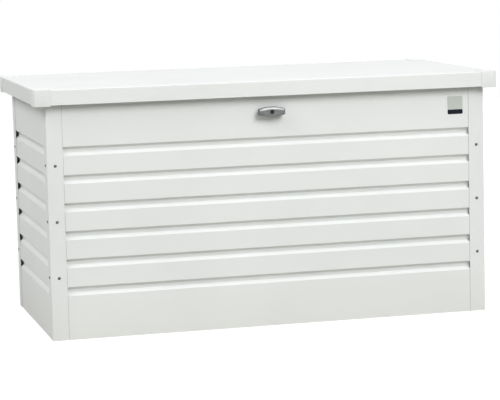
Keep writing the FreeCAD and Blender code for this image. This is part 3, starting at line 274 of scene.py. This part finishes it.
wall_light, wall_dark, wall_dust = tone(229, 231, 230), tone(225, 227, 226), tone(214, 211, 203)
edge_x, edge_y = POST_FACE - POST_FLANGE
# Both wall coats carry a painted shade line along the posts' edges
wall_coats = {
    "y": coated_steel("wall_coat", wall_light, wall_dark, wall_dust, 0.52,
                      shaded_seam=(("X", edge_x), ("Y", -WALL_FRONT))),
    "x": coated_steel("side_wall_coat", wall_light, wall_dark, wall_dust, 0.52,
                      shaded_seam=(("Y", edge_y), ("X", WALL_RIGHT))),
}
for side, (across, face, half) in WALLS.items():

    def place_wall(depth, up, along, across=across, face=face):
        out = face - math.copysign(1, face) * depth
        return (along, out, up) if across == "y" else (out, along, up)

    points, faces = folded_sheet(wall_section(), -SHEET, np.linspace(-half, half, 5), place_wall)
    wall = surface(f"rolled_{side}_wall", points, faces)
    if side == "front":
        bored(wall, np.array([0, WALL_FRONT, LOCK_LEVEL]), LOCK_HOLE_RADIUS)
    wall.data.materials.append(wall_coats[across])
    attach(wall, "case")
    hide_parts(f"{side}_panel")

# Corner posts
# Angles folded from 1.2 mm coated sheet, with a soft outer bend, that stand from the
# ground to the rim and clamp the ends of the wall panels.

POST_SHEET = 0.0012
POST_BEND = 0.003
POST_TOP = 0.812
CORNERS = {"front_left": (-1, -1), "front_right": (1, -1),
           "rear_left": (-1, 1), "rear_right": (1, 1)}

post_coat = coated_steel("post_coat", tone(228, 230, 229), tone(224, 226, 225),
                         tone(212, 209, 201), 0.5)
fold = bent_line([[POST_FLANGE, 0], [0, 0], [0, POST_FLANGE]], POST_BEND, steps=8)
for corner, (side_x, side_y) in CORNERS.items():

    def place_post(a, b, along, side_x=side_x, side_y=side_y):
        return side_x * (POST_FACE[0] - a), side_y * (POST_FACE[1] - b), along

    points, faces = folded_sheet(fold, -POST_SHEET, np.linspace(0, POST_TOP, 5), place_post)
    post = surface(f"folded_post_{corner}", points, faces)
    post.data.materials.append(post_coat)
    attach(post, "case")
    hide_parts(f"corner_post_{corner}")

# Screws and nuts of the posts
# Zinc-plated button-head screws with a hexagon socket, three down each post flange, and
# plain hexagon nuts behind them on the panel.

SCREW_LEVELS = 0.2077 + 2 * GROOVE_PITCH * np.arange(3)
# In millimetres
DOME_RADIUS = 6.09
DOME_CENTRE = -3.09


def button_screw(turns=24):
    """Two distances from the axis and the height of a domed screw on a grid, drawn in
    millimetres: from the shank's end over a dome, which is part of a sphere, to a hexagon
    socket, whose radius is its apothem / cos of the angle from the middle of its side."""
    angle = np.linspace(0, 2 * math.pi, turns, endpoint=False)
    hexagon = 1 / np.cos((angle + math.pi / 6) % (math.pi / 3) - math.pi / 6)
    round_ = np.ones(turns)
    tilt = np.radians([56, 50, 44, 38, 32, 26, 20])
    dome = [(DOME_RADIUS * math.sin(t), DOME_RADIUS * math.cos(t) + DOME_CENTRE, round_)
            for t in tilt]
    rings = [(2.1, -12, round_), (2.5, -11.6, round_), (2.5, 0, round_), (5.15, 0, round_),
             (5.25, 0.12, round_), (5.2, 0.22, round_), *dome, (1.6, 2.74, hexagon),
             (1.5, 2.64, hexagon), (1.5, 1.2, hexagon)]
    radius = np.array([[r] for r, _, _ in rings]) * np.array([shape for _, _, shape in rings])
    height = np.array([[h] for _, h, _ in rings]) + 0 * angle
    return radius * np.cos(angle) / 1000, radius * np.sin(angle) / 1000, height / 1000


def turned_faces(rings, turns):
    """Faces of rings that close on themselves, with a flat end on the first and last."""
    index = np.arange(rings * turns).reshape(rings, turns)
    a, b = index[:-1], index[1:]
    sides = np.stack([a, np.roll(a, -1, 1), np.roll(b, -1, 1), b], axis=-1).reshape(-1, 4)
    return [*sides.tolist(), index[0][::-1].tolist(), index[-1].tolist()]


def stretched(tree, place, *scales):
    """Coordinates scaled along x, y and z, which draw a noise out into lines."""
    return wired(tree, "ShaderNodeMapping", {"Vector": place, "Scale": scales}).outputs["Vector"]


def plated(name, light, dark, roughness, scale):
    """Plated or galvanised steel: flat crystals of slightly different grey, fine scratches
    and a roughness that follows the crystals."""
    material, tree, place = blank_material(name, 1.0)
    crystals = wired(tree, "ShaderNodeTexVoronoi", {"Vector": place, "Scale": scale}).outputs
    shade = wired(tree, "ShaderNodeSeparateColor", {"Color": crystals["Color"]}).outputs
    scratches = noise(tree, stretched(tree, place, 60, 700, 700), 1, 3)
    return finished(material, two_tone(tree, shade["Red"], light, dark),
                    ranged(tree, shade["Green"], 0, 1, roughness - 0.06, roughness + 0.08),
                    raised(tree, scratches, 0.15, 0.00004))


# The screws' dark colour is a painted dark reflection of their surroundings
screw_zinc = plated("screw_zinc", tone(104, 106, 107), tone(86, 88, 90), 0.3, 900.0)
upright, sideways, above = button_screw()
one_screw = turned_faces(*above.shape)
screw_points, screw_faces = [], []
up = np.array([0, 0, 1.0])
for side_x, side_y, level in itertools.product((-1, 1), (-1, 1), SCREW_LEVELS):
    for out in np.array([[0, side_y, 0], [side_x, 0, 0]], float):
        middle = (side_x, side_y) * (POST_FACE - POST_FLANGE / 2 * (1 - np.abs(out[:2])))
        start = len(screw_points) * above.size
        screw_faces += [[corner + start for corner in face] for face in one_screw]
        screw_points.append((np.array([*middle, level]) + out * above[..., None]
                             + up * upright[..., None]
                             + np.cross(up, out) * sideways[..., None]).reshape(-1, 3))
screws = surface("button_screws", np.vstack(screw_points), screw_faces, crease=50)
screws.data.materials.append(screw_zinc)
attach(screws, "case")
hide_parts("post_screws")


def dressed(material, *names):
    """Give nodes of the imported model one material."""
    for name in names:
        nodes[name].data.materials.clear()
        nodes[name].data.materials.append(material)


dressed(plated("nut_zinc", tone(190, 192, 194), tone(168, 171, 174), 0.36, 500.0), "post_nuts")

# Rails and floor
# Coated angles cap the upper edge of the walls. Galvanised angles run round the foot
# inside, and the galvanised floor sheet is screwed down on them.

rail_coat = coated_steel("rail_coat", tone(226, 228, 226), tone(220, 222, 221),
                         tone(212, 210, 204), 0.38)
galvanised = plated("galvanised_sheet", tone(186, 189, 191), tone(164, 168, 171), 0.42, 75.0)
dressed(rail_coat, "top_rail_front", "top_rail_rear", "top_rail_left", "top_rail_right")
dressed(galvanised, "base_rail_front", "base_rail_rear", "base_rail_left", "base_rail_right",
        "floor_panel")
dressed(plated("floor_screw_zinc", tone(198, 200, 201), tone(176, 179, 181), 0.32, 700.0),
        "floor_screws")

# Rubber buffers
# Short round buffers of black rubber on the side rails, which the closed lid lies on.


def soft_black(name, light, dark, roughness, scale, relief):
    """Black rubber or lacquer: mottled between two near-blacks, with a matt fine grain."""
    material, tree, place = blank_material(name, 0.0, 0.35)
    mottle = noise(tree, place, scale, 5)
    return finished(material, two_tone(tree, ranged(tree, mottle, 0.3, 0.7, 0, 1), light, dark),
                    ranged(tree, mottle, 0.3, 0.7, roughness - 0.06, roughness + 0.06),
                    raised(tree, mottle, 0.3, relief))


dressed(soft_black("buffer_rubber", tone(44, 44, 45), tone(30, 30, 31), 0.72, 600.0, 0.00012),
        "lid_buffers")

# Hinges
# Three hinges of galvanised strip, rolled round 5 mm pins and riveted to the rear wall
# and inside the lid's rear rim.

hinge_zinc = plated("hinge_zinc", tone(192, 194, 196), tone(170, 173, 176), 0.35, 260.0)
for where in ("left", "middle", "right"):
    dressed(hinge_zinc, f"hinge_case_leaf_{where}", f"hinge_lid_leaf_{where}")
dressed(plated("pin_steel", tone(204, 205, 206), tone(188, 190, 191), 0.22, 800.0), "hinge_pins")
dressed(plated("rivet_steel", tone(200, 202, 203), tone(180, 182, 184), 0.3, 800.0),
        "hinge_case_rivets")
dressed(coated_steel("rivet_coat", tone(228, 230, 228), tone(222, 224, 222),
                     tone(222, 224, 222), 0.36), "hinge_lid_rivets")

# Lid sheet
# One coated sheet folded into a shallow tray: flat top, a soft bend of 3.5 mm all round,
# and a 51 mm rim whose edge is hemmed inward at the front and the sides.

LID_HALF = np.array([0.793, 0.393])
LID_TOP = 0.828
LID_SHEET = 0.001
LID_BEND = 0.0035
LID_FLAT = 0.0055
LID_CORNER = 0.008
RIM_EDGE = 0.777
HEM = 0.012


def rounded_outline(half, corner, inset, steps=8):
    """Rectangle drawn in by inset: half lengths less inset, joined by quarter circles whose
    radius is corner less inset."""
    radius = max(corner - inset, 0.0002)
    angle = np.linspace(0, math.pi / 2, steps + 1)
    quarter = np.stack([np.cos(angle), np.sin(angle)], axis=1) * radius
    centre = np.asarray(half) - inset - radius
    turns = [np.array([[math.cos(t), -math.sin(t)], [math.sin(t), math.cos(t)]])
             for t in (0, math.pi / 2, math.pi, 1.5 * math.pi)]
    signs = np.array([[1, 1], [-1, 1], [-1, -1], [1, -1]])
    return np.vstack([quarter @ turn.T + sign * centre for turn, sign in zip(turns, signs)])


def ringed(half, corner, rings):
    """Points and faces of a closed body: one outline at the inset and height of each ring."""
    outline = np.array([rounded_outline(half, corner, inset) for inset, _ in rings])
    height = np.broadcast_to(np.array([h for _, h in rings])[:, None, None],
                             outline.shape[:2] + (1,))
    points = np.concatenate([outline, height], axis=-1)
    return points, turned_faces(*points.shape[:2])


def quarter_bend(radius, inset, top, steps=6):
    """Insets and heights of a bend: inset + radius * (1 - sin) and top - radius * (1 - cos)
    of an angle that grows from 0 to 90 degrees."""
    angle = np.linspace(0, math.pi / 2, steps + 1)
    return np.stack([inset + radius * (1 - np.sin(angle)),
                     top - radius * (1 - np.cos(angle))], axis=1)


outer_bend = quarter_bend(LID_BEND, 0, LID_TOP)
inner_bend = quarter_bend(LID_BEND - LID_SHEET, LID_SHEET, LID_TOP - LID_SHEET)
# Insets and heights, from the top over the rim's edge and back up inside
tray_rings = [(0.03, LID_TOP), (LID_FLAT, LID_TOP), *outer_bend, (0, LID_TOP - LID_FLAT),
              (0, RIM_EDGE + 0.0012), (0, RIM_EDGE + 0.0004), (0.0003, RIM_EDGE),
              (0.0007, RIM_EDGE), (LID_SHEET, RIM_EDGE + 0.0004),
              (LID_SHEET, LID_TOP - LID_FLAT), *inner_bend[::-1],
              (LID_FLAT, LID_TOP - LID_SHEET), (0.03, LID_TOP - LID_SHEET)]
tray_points, tray_faces = ringed(LID_HALF, LID_CORNER, tray_rings)
tray_points = tray_points.reshape(-1, 3)
rim_x, rim_y = LID_HALF - 0.9 * LID_SHEET
end_x, end_y = rim_x - LID_CORNER, rim_y - LID_CORNER
# Front, right and left
hem_outlines = [
    [(-end_x, -rim_y), (end_x, -rim_y), (end_x - HEM, -rim_y + HEM), (-end_x + HEM, -rim_y + HEM)],
    [(rim_x, -end_y), (rim_x, end_y), (rim_x - HEM, end_y - HEM), (rim_x - HEM, -end_y + HEM)],
    [(-rim_x, end_y), (-rim_x, -end_y), (-rim_x + HEM, -end_y + HEM), (-rim_x + HEM, end_y - HEM)],
]
for strip in hem_outlines:
    start = len(tray_points)
    layers = [[(x, y, level) for x, y in strip] for level in (RIM_EDGE, RIM_EDGE + LID_SHEET)]
    tray_points = np.vstack([tray_points, np.array(layers).reshape(-1, 3)])
    tray_faces += [[corner + start for corner in face] for face in turned_faces(2, 4)]
lid_coat = coated_steel("lid_coat", tone(230, 232, 231), tone(227, 229, 228),
                        tone(227, 229, 228), 0.7)
tray = surface("folded_lid", tray_points, tray_faces, inside=(0, 0, 0.8))
tray.data.materials.append(lid_coat)
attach(tray, "lid")
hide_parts("lid_sheet")

# Lid stiffeners
# Hat profiles of galvanised sheet, bonded under the lid at the front, middle and rear.

dressed(galvanised, "lid_stiffener_front", "lid_stiffener_middle", "lid_stiffener_rear")

# Corner caps
# Moulded caps of grey-white plastic pushed over the lid's corners: 2 mm proud of the
# sheet, with a soft upright corner and a lip that grips under the rim.

CAP_FACE = np.array([0.795, 0.395])
CAP_LEGS = (0.054, 0.060)
CAP_CORNER = 0.010
CAP_EDGE = 0.0015
CAP_WALL = 0.00195
CAP_TOP = 0.830
CAP_FOOT = 0.774


def cap_line(inset, steps=9):
    """Distances from the side and front faces along a cap's outer line, drawn in by inset:
    down the front leg, round the corner and along the side leg."""
    radius = CAP_CORNER - inset
    angle = np.linspace(0, math.pi / 2, steps + 1)
    arc = np.stack([CAP_CORNER - radius * np.sin(angle), CAP_CORNER - radius * np.cos(angle)], 1)
    near, far = CAP_LEGS
    lead = CAP_CORNER + 0.0015
    front = np.array([[near, inset], [near - 0.001, inset], [0.03, inset], [lead, inset]])
    side = np.array([[inset, lead], [inset, 0.03], [inset, far - 0.001], [inset, far]])
    return np.vstack([front, arc, side])


def moulded(name, light, dark, roughness):
    """Moulded plastic: a fine spark-eroded grain and faint flow clouds."""
    material, tree, place = blank_material(name, 0.0, 0.25)
    flow = noise(tree, place, 14, 3)
    grain = noise(tree, place, 1400, 2)
    return finished(material, two_tone(tree, ranged(tree, flow, 0.35, 0.65, 0, 1), light, dark),
                    ranged(tree, grain, 0.3, 0.7, roughness - 0.05, roughness + 0.05),
                    raised(tree, grain, 0.25, 0.00008))


cap_plastic = moulded("cap_plastic", tone(231, 233, 232), tone(227, 229, 228), 0.42)
cap_rings = [(0.003, CAP_TOP), *quarter_bend(CAP_EDGE, 0, CAP_TOP, steps=4),
             (0, CAP_TOP - 0.003), (0, CAP_FOOT + 0.001), (0.0002, CAP_FOOT + 0.0003),
             (0.0006, CAP_FOOT), (0.003, CAP_FOOT)]
lines = np.array([cap_line(inset) for inset, _ in cap_rings])
heights = np.broadcast_to(np.array([h for _, h in cap_rings])[:, None], lines.shape[:2])
index = np.arange(heights.size).reshape(heights.shape)
skin = np.stack([index[:-1, :-1], index[:-1, 1:], index[1:, 1:], index[1:, :-1]], axis=-1)
inner_corner = np.full_like(index[0, 1:], heights.size)
top = np.stack([inner_corner, index[0, 1:], index[0, :-1]], axis=-1)
cap_faces = [*skin.reshape(-1, 4).tolist(), *top.tolist()]
for corner, (side_x, side_y) in CORNERS.items():
    points = np.dstack([(side_x, side_y) * (CAP_FACE - lines), heights]).reshape(-1, 3)
    last = [*(side_x, side_y) * (CAP_FACE - CAP_LEGS), CAP_TOP]
    cap = surface(f"moulded_cap_{corner}", np.vstack([points, last]), cap_faces,
                  inside=(side_x * 0.76, side_y * 0.36, 0.79))
    wall = cap.modifiers.new("wall", "SOLIDIFY")
    wall.thickness, wall.offset, wall.use_even_offset = CAP_WALL, -1, True
    soft = cap.modifiers.new("soft_edges", "BEVEL")
    soft.width, soft.segments, soft.limit_method = 0.00025, 2, "ANGLE"
    soft.angle_limit = math.radians(60)
    cap.data.materials.append(cap_plastic)
    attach(cap, "lid")
    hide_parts(f"lid_cap_{corner}")

# Gas struts
# A black lacquered pressure tube and a ground steel piston rod with an eye at each end,
# on studs in a bracket on the side wall and in one under the lid.

STRUT_SIDE = 0.7083
STRUT_FOOT = np.array([0.3039042, 0.4852083])
STRUT_TILT = math.radians(37.15)
# Both studs lie 310 mm from the hinge line, 77.7 degrees apart while the lid is closed
STRUT_LENGTH = 2 * 0.310 * math.sin(math.radians(77.7 / 2))


def turned(profile, turns=32):
    """Rings about the third axis from a profile in millimetres: radius * cos and
    radius * sin of the angle, at the profile's height."""
    angle = np.linspace(0, 2 * math.pi, turns, endpoint=False)
    radius, height = (np.asarray(profile, float) / 1000).T
    return np.stack([radius[:, None] * np.cos(angle), radius[:, None] * np.sin(angle),
                     height[:, None] + 0 * angle], axis=-1)


def ring_faces(rings, turns):
    """Faces of a turned ring whose profile closes on itself."""
    index = np.arange(rings * turns).reshape(rings, turns)
    a, b = index, np.roll(index, -1, 0)
    return np.stack([a, np.roll(a, -1, 1), np.roll(b, -1, 1), b], axis=-1).reshape(-1, 4).tolist()


def strut_piece(name, profile, eye_height, side):
    """Turned body with a turned eye across it, leaned back onto the strut's line."""
    body = turned(profile)
    eye_profile = [(4.05, -5.6), (4.5, -6), (7.4, -6), (8, -5.4), (8, 5.4), (7.4, 6),
                   (4.5, 6), (4.05, 5.6)]
    eye = turned(eye_profile)[..., [2, 0, 1]] + (0, 0, eye_height)
    points = np.vstack([body.reshape(-1, 3), eye.reshape(-1, 3)])
    start = body[..., 0].size
    faces = turned_faces(*body.shape[:2])
    faces += [[corner + start for corner in face] for face in ring_faces(*eye.shape[:2])]
    lean = np.array([[1, 0, 0], [0, math.cos(STRUT_TILT), -math.sin(STRUT_TILT)],
                     [0, math.sin(STRUT_TILT), math.cos(STRUT_TILT)]])
    foot = np.array([side * STRUT_SIDE, *STRUT_FOOT])
    return surface(name, points @ lean.T + foot, faces, inside=foot)


tube_lacquer = soft_black("tube_lacquer", tone(38, 38, 40), tone(28, 28, 30), 0.34, 300.0, 0.00002)
rod_steel = plated("rod_steel", tone(214, 215, 216), tone(202, 204, 205), 0.16, 1200.0)
end = STRUT_LENGTH * 1000
rod_profile = [(6.9, end - 316), (7.2, end - 315.7), (7.2, end - 308.3), (6.9, end - 308),
               (4, end - 308), (4, end - 300), (4, end - 30.5), (4.6, end - 30),
               (5, end - 29.5), (5, end - 6), (4.9, end - 5.5)]
tube_profile = [(4.9, 5.5), (5, 6), (5, 29), (6, 30), (8.3, 30), (9, 30.8), (9, 38), (9, 304),
                (9, 311.2), (8.3, 312), (4.6, 312), (4.3, 311.6), (4.3, 304), (7.5, 304),
                (7.5, 31.5), (0.5, 31.5)]
for where, side in (("left", -1), ("right", 1)):
    tube = strut_piece(f"pressure_tube_{where}", tube_profile, 0, side)
    tube.data.materials.append(tube_lacquer)
    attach(tube, f"strut_tube_{where}")
    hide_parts(f"strut_tube_{where}")
    rod = strut_piece(f"piston_rod_{where}", rod_profile, STRUT_LENGTH, side)
    rod.data.materials.append(rod_steel)
    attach(rod, f"strut_rod_{where}")
    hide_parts(f"strut_rod_{where}")
    dressed(galvanised, f"strut_case_bracket_{where}", f"strut_lid_bracket_{where}")

# Lock bush and its nut
# A chromed flanged bush through the front wall, held by a flat hexagon nut inside. Its
# profile and the handle's are drawn in millimetres, with depths from the wall's face.


def polished(name, light, dark, roughness):
    """Chrome on cast zinc: nearly even, with faint clouds and polishing marks."""
    material, tree, place = blank_material(name, 1.0)
    clouds = noise(tree, place, 55, 2)
    marks = noise(tree, stretched(tree, place, 200, 900, 900), 1, 2)
    return finished(material, two_tone(tree, ranged(tree, clouds, 0.35, 0.65, 0, 1), light, dark),
                    ranged(tree, marks, 0.3, 0.7, roughness - 0.03, roughness + 0.05),
                    raised(tree, marks, 0.06, 0.00002))


def facing_front(local):
    """Turn rings drawn about +Z so that their height becomes depth behind the wall's face."""
    return local[..., [0, 2, 1]] + (0, WALL_FRONT, LOCK_LEVEL)


chrome = polished("lock_chrome", tone(172, 174, 172), tone(160, 162, 161), 0.2)
bush_profile = [(7.05, -2.7), (7.35, -3), (15.2, -3), (15.8, -2.7), (16, -2.1), (16, 0),
                (11, 0), (11, 25.6), (10.6, 26), (7.4, 26), (7.05, 25.7)]
bush_points = facing_front(turned(bush_profile, 48))
bush = surface("lock_bush", bush_points, ring_faces(*bush_points.shape[:2]),
               inside=(0, WALL_FRONT, LOCK_LEVEL))
bush.data.materials.append(chrome)
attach(bush, "case")
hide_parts("lock_housing")
dressed(plated("lock_nut_zinc", tone(196, 197, 198), tone(176, 178, 180), 0.3, 400.0), "lock_nut")

# Turn handle
# A boat-shaped grip, its neck and its shaft cast in one and chromed. Broad bevels lead
# from the grip's flat front to its waist, and its middle is bored for the key plug.

GRIP_FRONT = -28.5
GRIP_DEPTH = 14.0
GRIP_SIZE = np.array([46.5, 17.0, 9.5])
FACE_SIZE = np.array([41.0, 9.0, 4.2])


def boat_outline(size, steps=48):
    """Boat shape from its half length, its half height in the middle and that at the ends:
    two flat arcs whose height over the middle line falls from waist to end, closed by
    upright ends."""
    half, waist, end = size
    bow = (half ** 2 + (waist - end) ** 2) / (2 * (waist - end))
    x = half * np.sin(np.linspace(-math.pi / 2, math.pi / 2, steps))
    z = np.sqrt(bow ** 2 - x ** 2) - bow + waist
    upright = np.linspace(1, -1, 9)[1:-1] * end
    right = np.stack([np.full_like(upright, half), upright], axis=1)
    lower = np.stack([x[::-1], -z[::-1]], axis=1)
    return np.vstack([np.stack([x, z], axis=1), right, lower, -right])


def circle_like(outline, radius, stretch=2.4):
    """Points on a circle, each in the direction of its point on the outline, whose height
    is stretched first to spread them more evenly."""
    angle = np.unwrap(np.arctan2(outline[:, 1] * stretch, outline[:, 0]))
    return np.stack([radius * np.cos(angle), radius * np.sin(angle)], axis=1)


def bevelled(share):
    """Outline between the grip's waist, at share 0, and its flat front, at share 1."""
    return boat_outline(GRIP_SIZE + share * (FACE_SIZE - GRIP_SIZE))


waist = bevelled(0)
back = GRIP_FRONT + GRIP_DEPTH
handle_rings = [
    (circle_like(waist, 6.9), -8.5), (circle_like(waist, 7.55), -8.5),
    (circle_like(waist, 7.55), GRIP_FRONT + 0.4), (circle_like(waist, 7.9), GRIP_FRONT),
    (bevelled(1.04), GRIP_FRONT), (bevelled(1), GRIP_FRONT + 0.08),
    (bevelled(0.95), GRIP_FRONT + 0.25), (bevelled(0.24), GRIP_FRONT + 2.7),
    (bevelled(0.15), GRIP_FRONT + 3.2), (bevelled(0.06), GRIP_FRONT + 4.4),
    (bevelled(0.015), GRIP_FRONT + 5.8), (waist, GRIP_FRONT + 7.4), (waist, back - 2.4),
    (bevelled(0.06), back - 0.9), (bevelled(0.25), back),
    (circle_like(waist, 10.9), back), (circle_like(waist, 10.2), back + 0.4),
    (circle_like(waist, 10), back + 1.2), (circle_like(waist, 10), -3.8),
    (circle_like(waist, 9.5), -3.3), (circle_like(waist, 7), -3.3), (circle_like(waist, 7), 26.3),
    (circle_like(waist, 4), 26.3), (circle_like(waist, 4), 29.3),
]
handle_points = np.array([np.column_stack([line, np.full(len(line), depth)])
                          for line, depth in handle_rings]) / 1000
handle = surface("turn_handle", facing_front(handle_points),
                 turned_faces(*handle_points.shape[:2]), inside=(0, WALL_FRONT, LOCK_LEVEL),
                 crease=32)
# The chrome's dark colour is a painted dark reflection of its surroundings; the bevel's highlight
# comes from the lamps
handle.data.materials.append(polished("handle_chrome_dark_reflection", tone(123, 125, 124), tone(109, 112, 111),
                                      0.4))
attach(handle, "handle")
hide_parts("t_handle")
# The plug's dark colour is painted shade, standing for the shade in its keyhole
dressed(polished("shaded_plug_nickel", tone(64, 64, 64), tone(52, 53, 53), 0.38), "key_plug")

# Cam, lock rods, guides and keepers
# A zinc-plated cam disc with two pins on the shaft's end, two flat bars in four bonded
# guides, and two slotted angles under the lid that the bars' ends pass into.

works_zinc = plated("works_zinc", tone(200, 200, 194), tone(180, 181, 176), 0.34, 240.0)
dressed(works_zinc, "lock_cam", "lock_rod_left", "lock_rod_right")
dressed(galvanised, "rod_guides", "lock_keeper_left", "lock_keeper_right")
dressed(plated("cam_screw_zinc", tone(204, 205, 206), tone(186, 188, 190), 0.28, 900.0),
        "cam_screw")

# Plain plate
# A bare silver plate with a dark foot band, bonded to the front beside the right post.

PLATE_MIDDLE = np.array([0.6539, 0.717])
PLATE_HALF = np.array([0.027, 0.0315])
PLATE_CORNER = 0.004
BAND_TOP = 0.701


def banded_plate(name, silver, band):
    """Brushed silver above a height and a dark band below it."""
    material, tree, place = blank_material(name, 0.25, 0.2)
    lines = noise(tree, stretched(tree, place, 40, 40, 1500), 1, 3)
    height = wired(tree, "ShaderNodeSeparateXYZ", {"Vector": place}).outputs["Z"]
    below = ranged(tree, height, BAND_TOP - COLOUR_BLUR, BAND_TOP + COLOUR_BLUR, 1, 0)
    brushing = two_tone(tree, ranged(tree, lines, 0.3, 0.7, 0, 1), silver,
                        tuple(0.92 * c for c in silver[:3]) + (1,))
    return finished(material, two_tone(tree, below, brushing, band),
                    ranged(tree, lines, 0.3, 0.7, 0.3, 0.42), raised(tree, lines, 0.08, 0.00003))


plate_rings = [(0.004, 0), (0.0002, 0), (0, 0.0001), (0, 0.0007), (0.0001, 0.0009),
               (0.0003, 0.001), (0.004, 0.001)]
plate_grid, plate_faces = ringed(PLATE_HALF, PLATE_CORNER, plate_rings)
plate_points = np.stack([plate_grid[..., 0] + PLATE_MIDDLE[0], WALL_FRONT - plate_grid[..., 2],
                         plate_grid[..., 1] + PLATE_MIDDLE[1]], axis=-1)
plate = surface("plain_plate", plate_points, plate_faces, inside=(0.65, WALL_FRONT, 0.7))
plate.data.materials.append(banded_plate("plate_finish", tone(190, 194, 188), tone(18, 20, 34)))
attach(plate, "case")
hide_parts("label_plate")

# Floor, light and camera
# A plain pale floor under an even soft sky. Large lamps stand high in front on the right,
# high on the left and low behind, and the camera has the photograph's viewing angle.

floor_mesh = bpy.data.meshes.new("studio_floor")
floor_mesh.from_pydata([(-8, -8, 0), (8, -8, 0), (8, 8, 0), (-8, 8, 0)], [], [(0, 1, 2, 3)])
floor = bpy.data.objects.new("studio_floor", floor_mesh)
bpy.context.scene.collection.objects.link(floor)


def white_where_seen(tree, lit, seen):
    """One shader for light that falls on things, the other for the camera and for what
    mirrors and glass show."""
    rays = tree.nodes.new("ShaderNodeLightPath").outputs
    straight = computed(tree, "MAXIMUM", rays["Is Camera Ray"], rays["Is Glossy Ray"])
    any_seen = computed(tree, "MAXIMUM", straight, rays["Is Transmission Ray"])
    return wired(tree, "ShaderNodeMixShader",
                 {0: any_seen, 1: lit.outputs[0], 2: seen.outputs[0]}).outputs[0]


floor_material = bpy.data.materials.new("studio_floor")
floor_material.use_nodes = True
paint = floor_material.node_tree
paint.nodes.clear()
ground = wired(paint, "ShaderNodeBsdfDiffuse", {"Color": (0.40, 0.405, 0.36, 1)})
shadow = wired(paint, "ShaderNodeBsdfDiffuse", {"Color": (0.2, 0.2, 0.2, 1)})
glow = wired(paint, "ShaderNodeEmission", {"Color": (1, 1, 1, 1), "Strength": 0.9})
pale = wired(paint, "ShaderNodeAddShader", {0: shadow.outputs[0], 1: glow.outputs[0]})
wired(paint, "ShaderNodeOutputMaterial", {"Surface": white_where_seen(paint, ground, pale)})
floor_mesh.materials.append(floor_material)

world = bpy.data.worlds.new("studio_sky")
bpy.context.scene.world = world
world.use_nodes = True
sky = world.node_tree
sky.nodes.clear()
soft_sky = wired(sky, "ShaderNodeBackground", {"Color": (0.97, 0.98, 1.0, 1), "Strength": 0.27})
white_sky = wired(sky, "ShaderNodeBackground", {"Color": (1, 1, 1, 1), "Strength": 1.0})
wired(sky, "ShaderNodeOutputWorld", {"Surface": white_where_seen(sky, soft_sky, white_sky)})


def soft_lamp(name, place, size, power, aim=(0, 0, 0.4)):
    """Large square lamp at a place, turned to face the middle of the box."""
    light = bpy.data.lights.new(name, "AREA")
    light.shape, light.size, light.energy = "SQUARE", size, power
    lamp = bpy.data.objects.new(name, light)
    bpy.context.scene.collection.objects.link(lamp)
    away = np.asarray(place, float) - np.asarray(aim, float)
    away /= np.linalg.norm(away)
    right = np.cross((0, 0, 1), away)
    right /= np.linalg.norm(right)
    turn = np.eye(4)
    turn[:3, :3] = np.stack([right, np.cross(away, right), away], axis=1)
    turn[:3, 3] = place
    lamp.matrix_world = Matrix(turn.tolist())
    return lamp


soft_lamp("right_lamp", (3.2, -9.3, 8.1), 6.5, 1150)
soft_lamp("left_lamp", (-11.6, -3.0, 11.8), 8.5, 1530)
# Kept out of reflections, where it would whiten the lid's top
soft_lamp("rear_lamp", (7.6, 8.4, 2.6), 4.0, 720).visible_glossy = False

CAMERA_PLACE = (-1.8175, -7.0660, 1.3109)
YAW, PITCH, ROLL = (math.radians(a) for a in (-14.567, 7.251, -1.406))
# Focal length in the pixels of a picture 500 wide
CAMERA_FOCUS = 2089.2
PICTURE_WIDTH = 500
SENSOR_WIDTH = 36.0

level_right = np.array([math.cos(YAW), math.sin(YAW), 0])
level_ahead = np.array([-math.sin(YAW), math.cos(YAW), 0])
ahead = level_ahead * math.cos(PITCH) - np.array([0, 0, math.sin(PITCH)])
upward = level_ahead * math.sin(PITCH) + np.array([0, 0, math.cos(PITCH)])
rolled_right = level_right * math.cos(ROLL) + upward * math.sin(ROLL)
rolled_up = upward * math.cos(ROLL) - level_right * math.sin(ROLL)
camera_data = bpy.data.cameras.new("camera")
camera_data.sensor_width = SENSOR_WIDTH
camera_data.lens = CAMERA_FOCUS / PICTURE_WIDTH * SENSOR_WIDTH
camera = bpy.data.objects.new("camera", camera_data)
bpy.context.scene.collection.objects.link(camera)
pose = np.eye(4)
pose[:3, :3] = np.stack([rolled_right, rolled_up, -ahead], axis=1)
pose[:3, 3] = CAMERA_PLACE
camera.matrix_world = Matrix(pose.tolist())
bpy.context.scene.camera = camera
bpy.context.scene.view_settings.view_transform = "Standard"
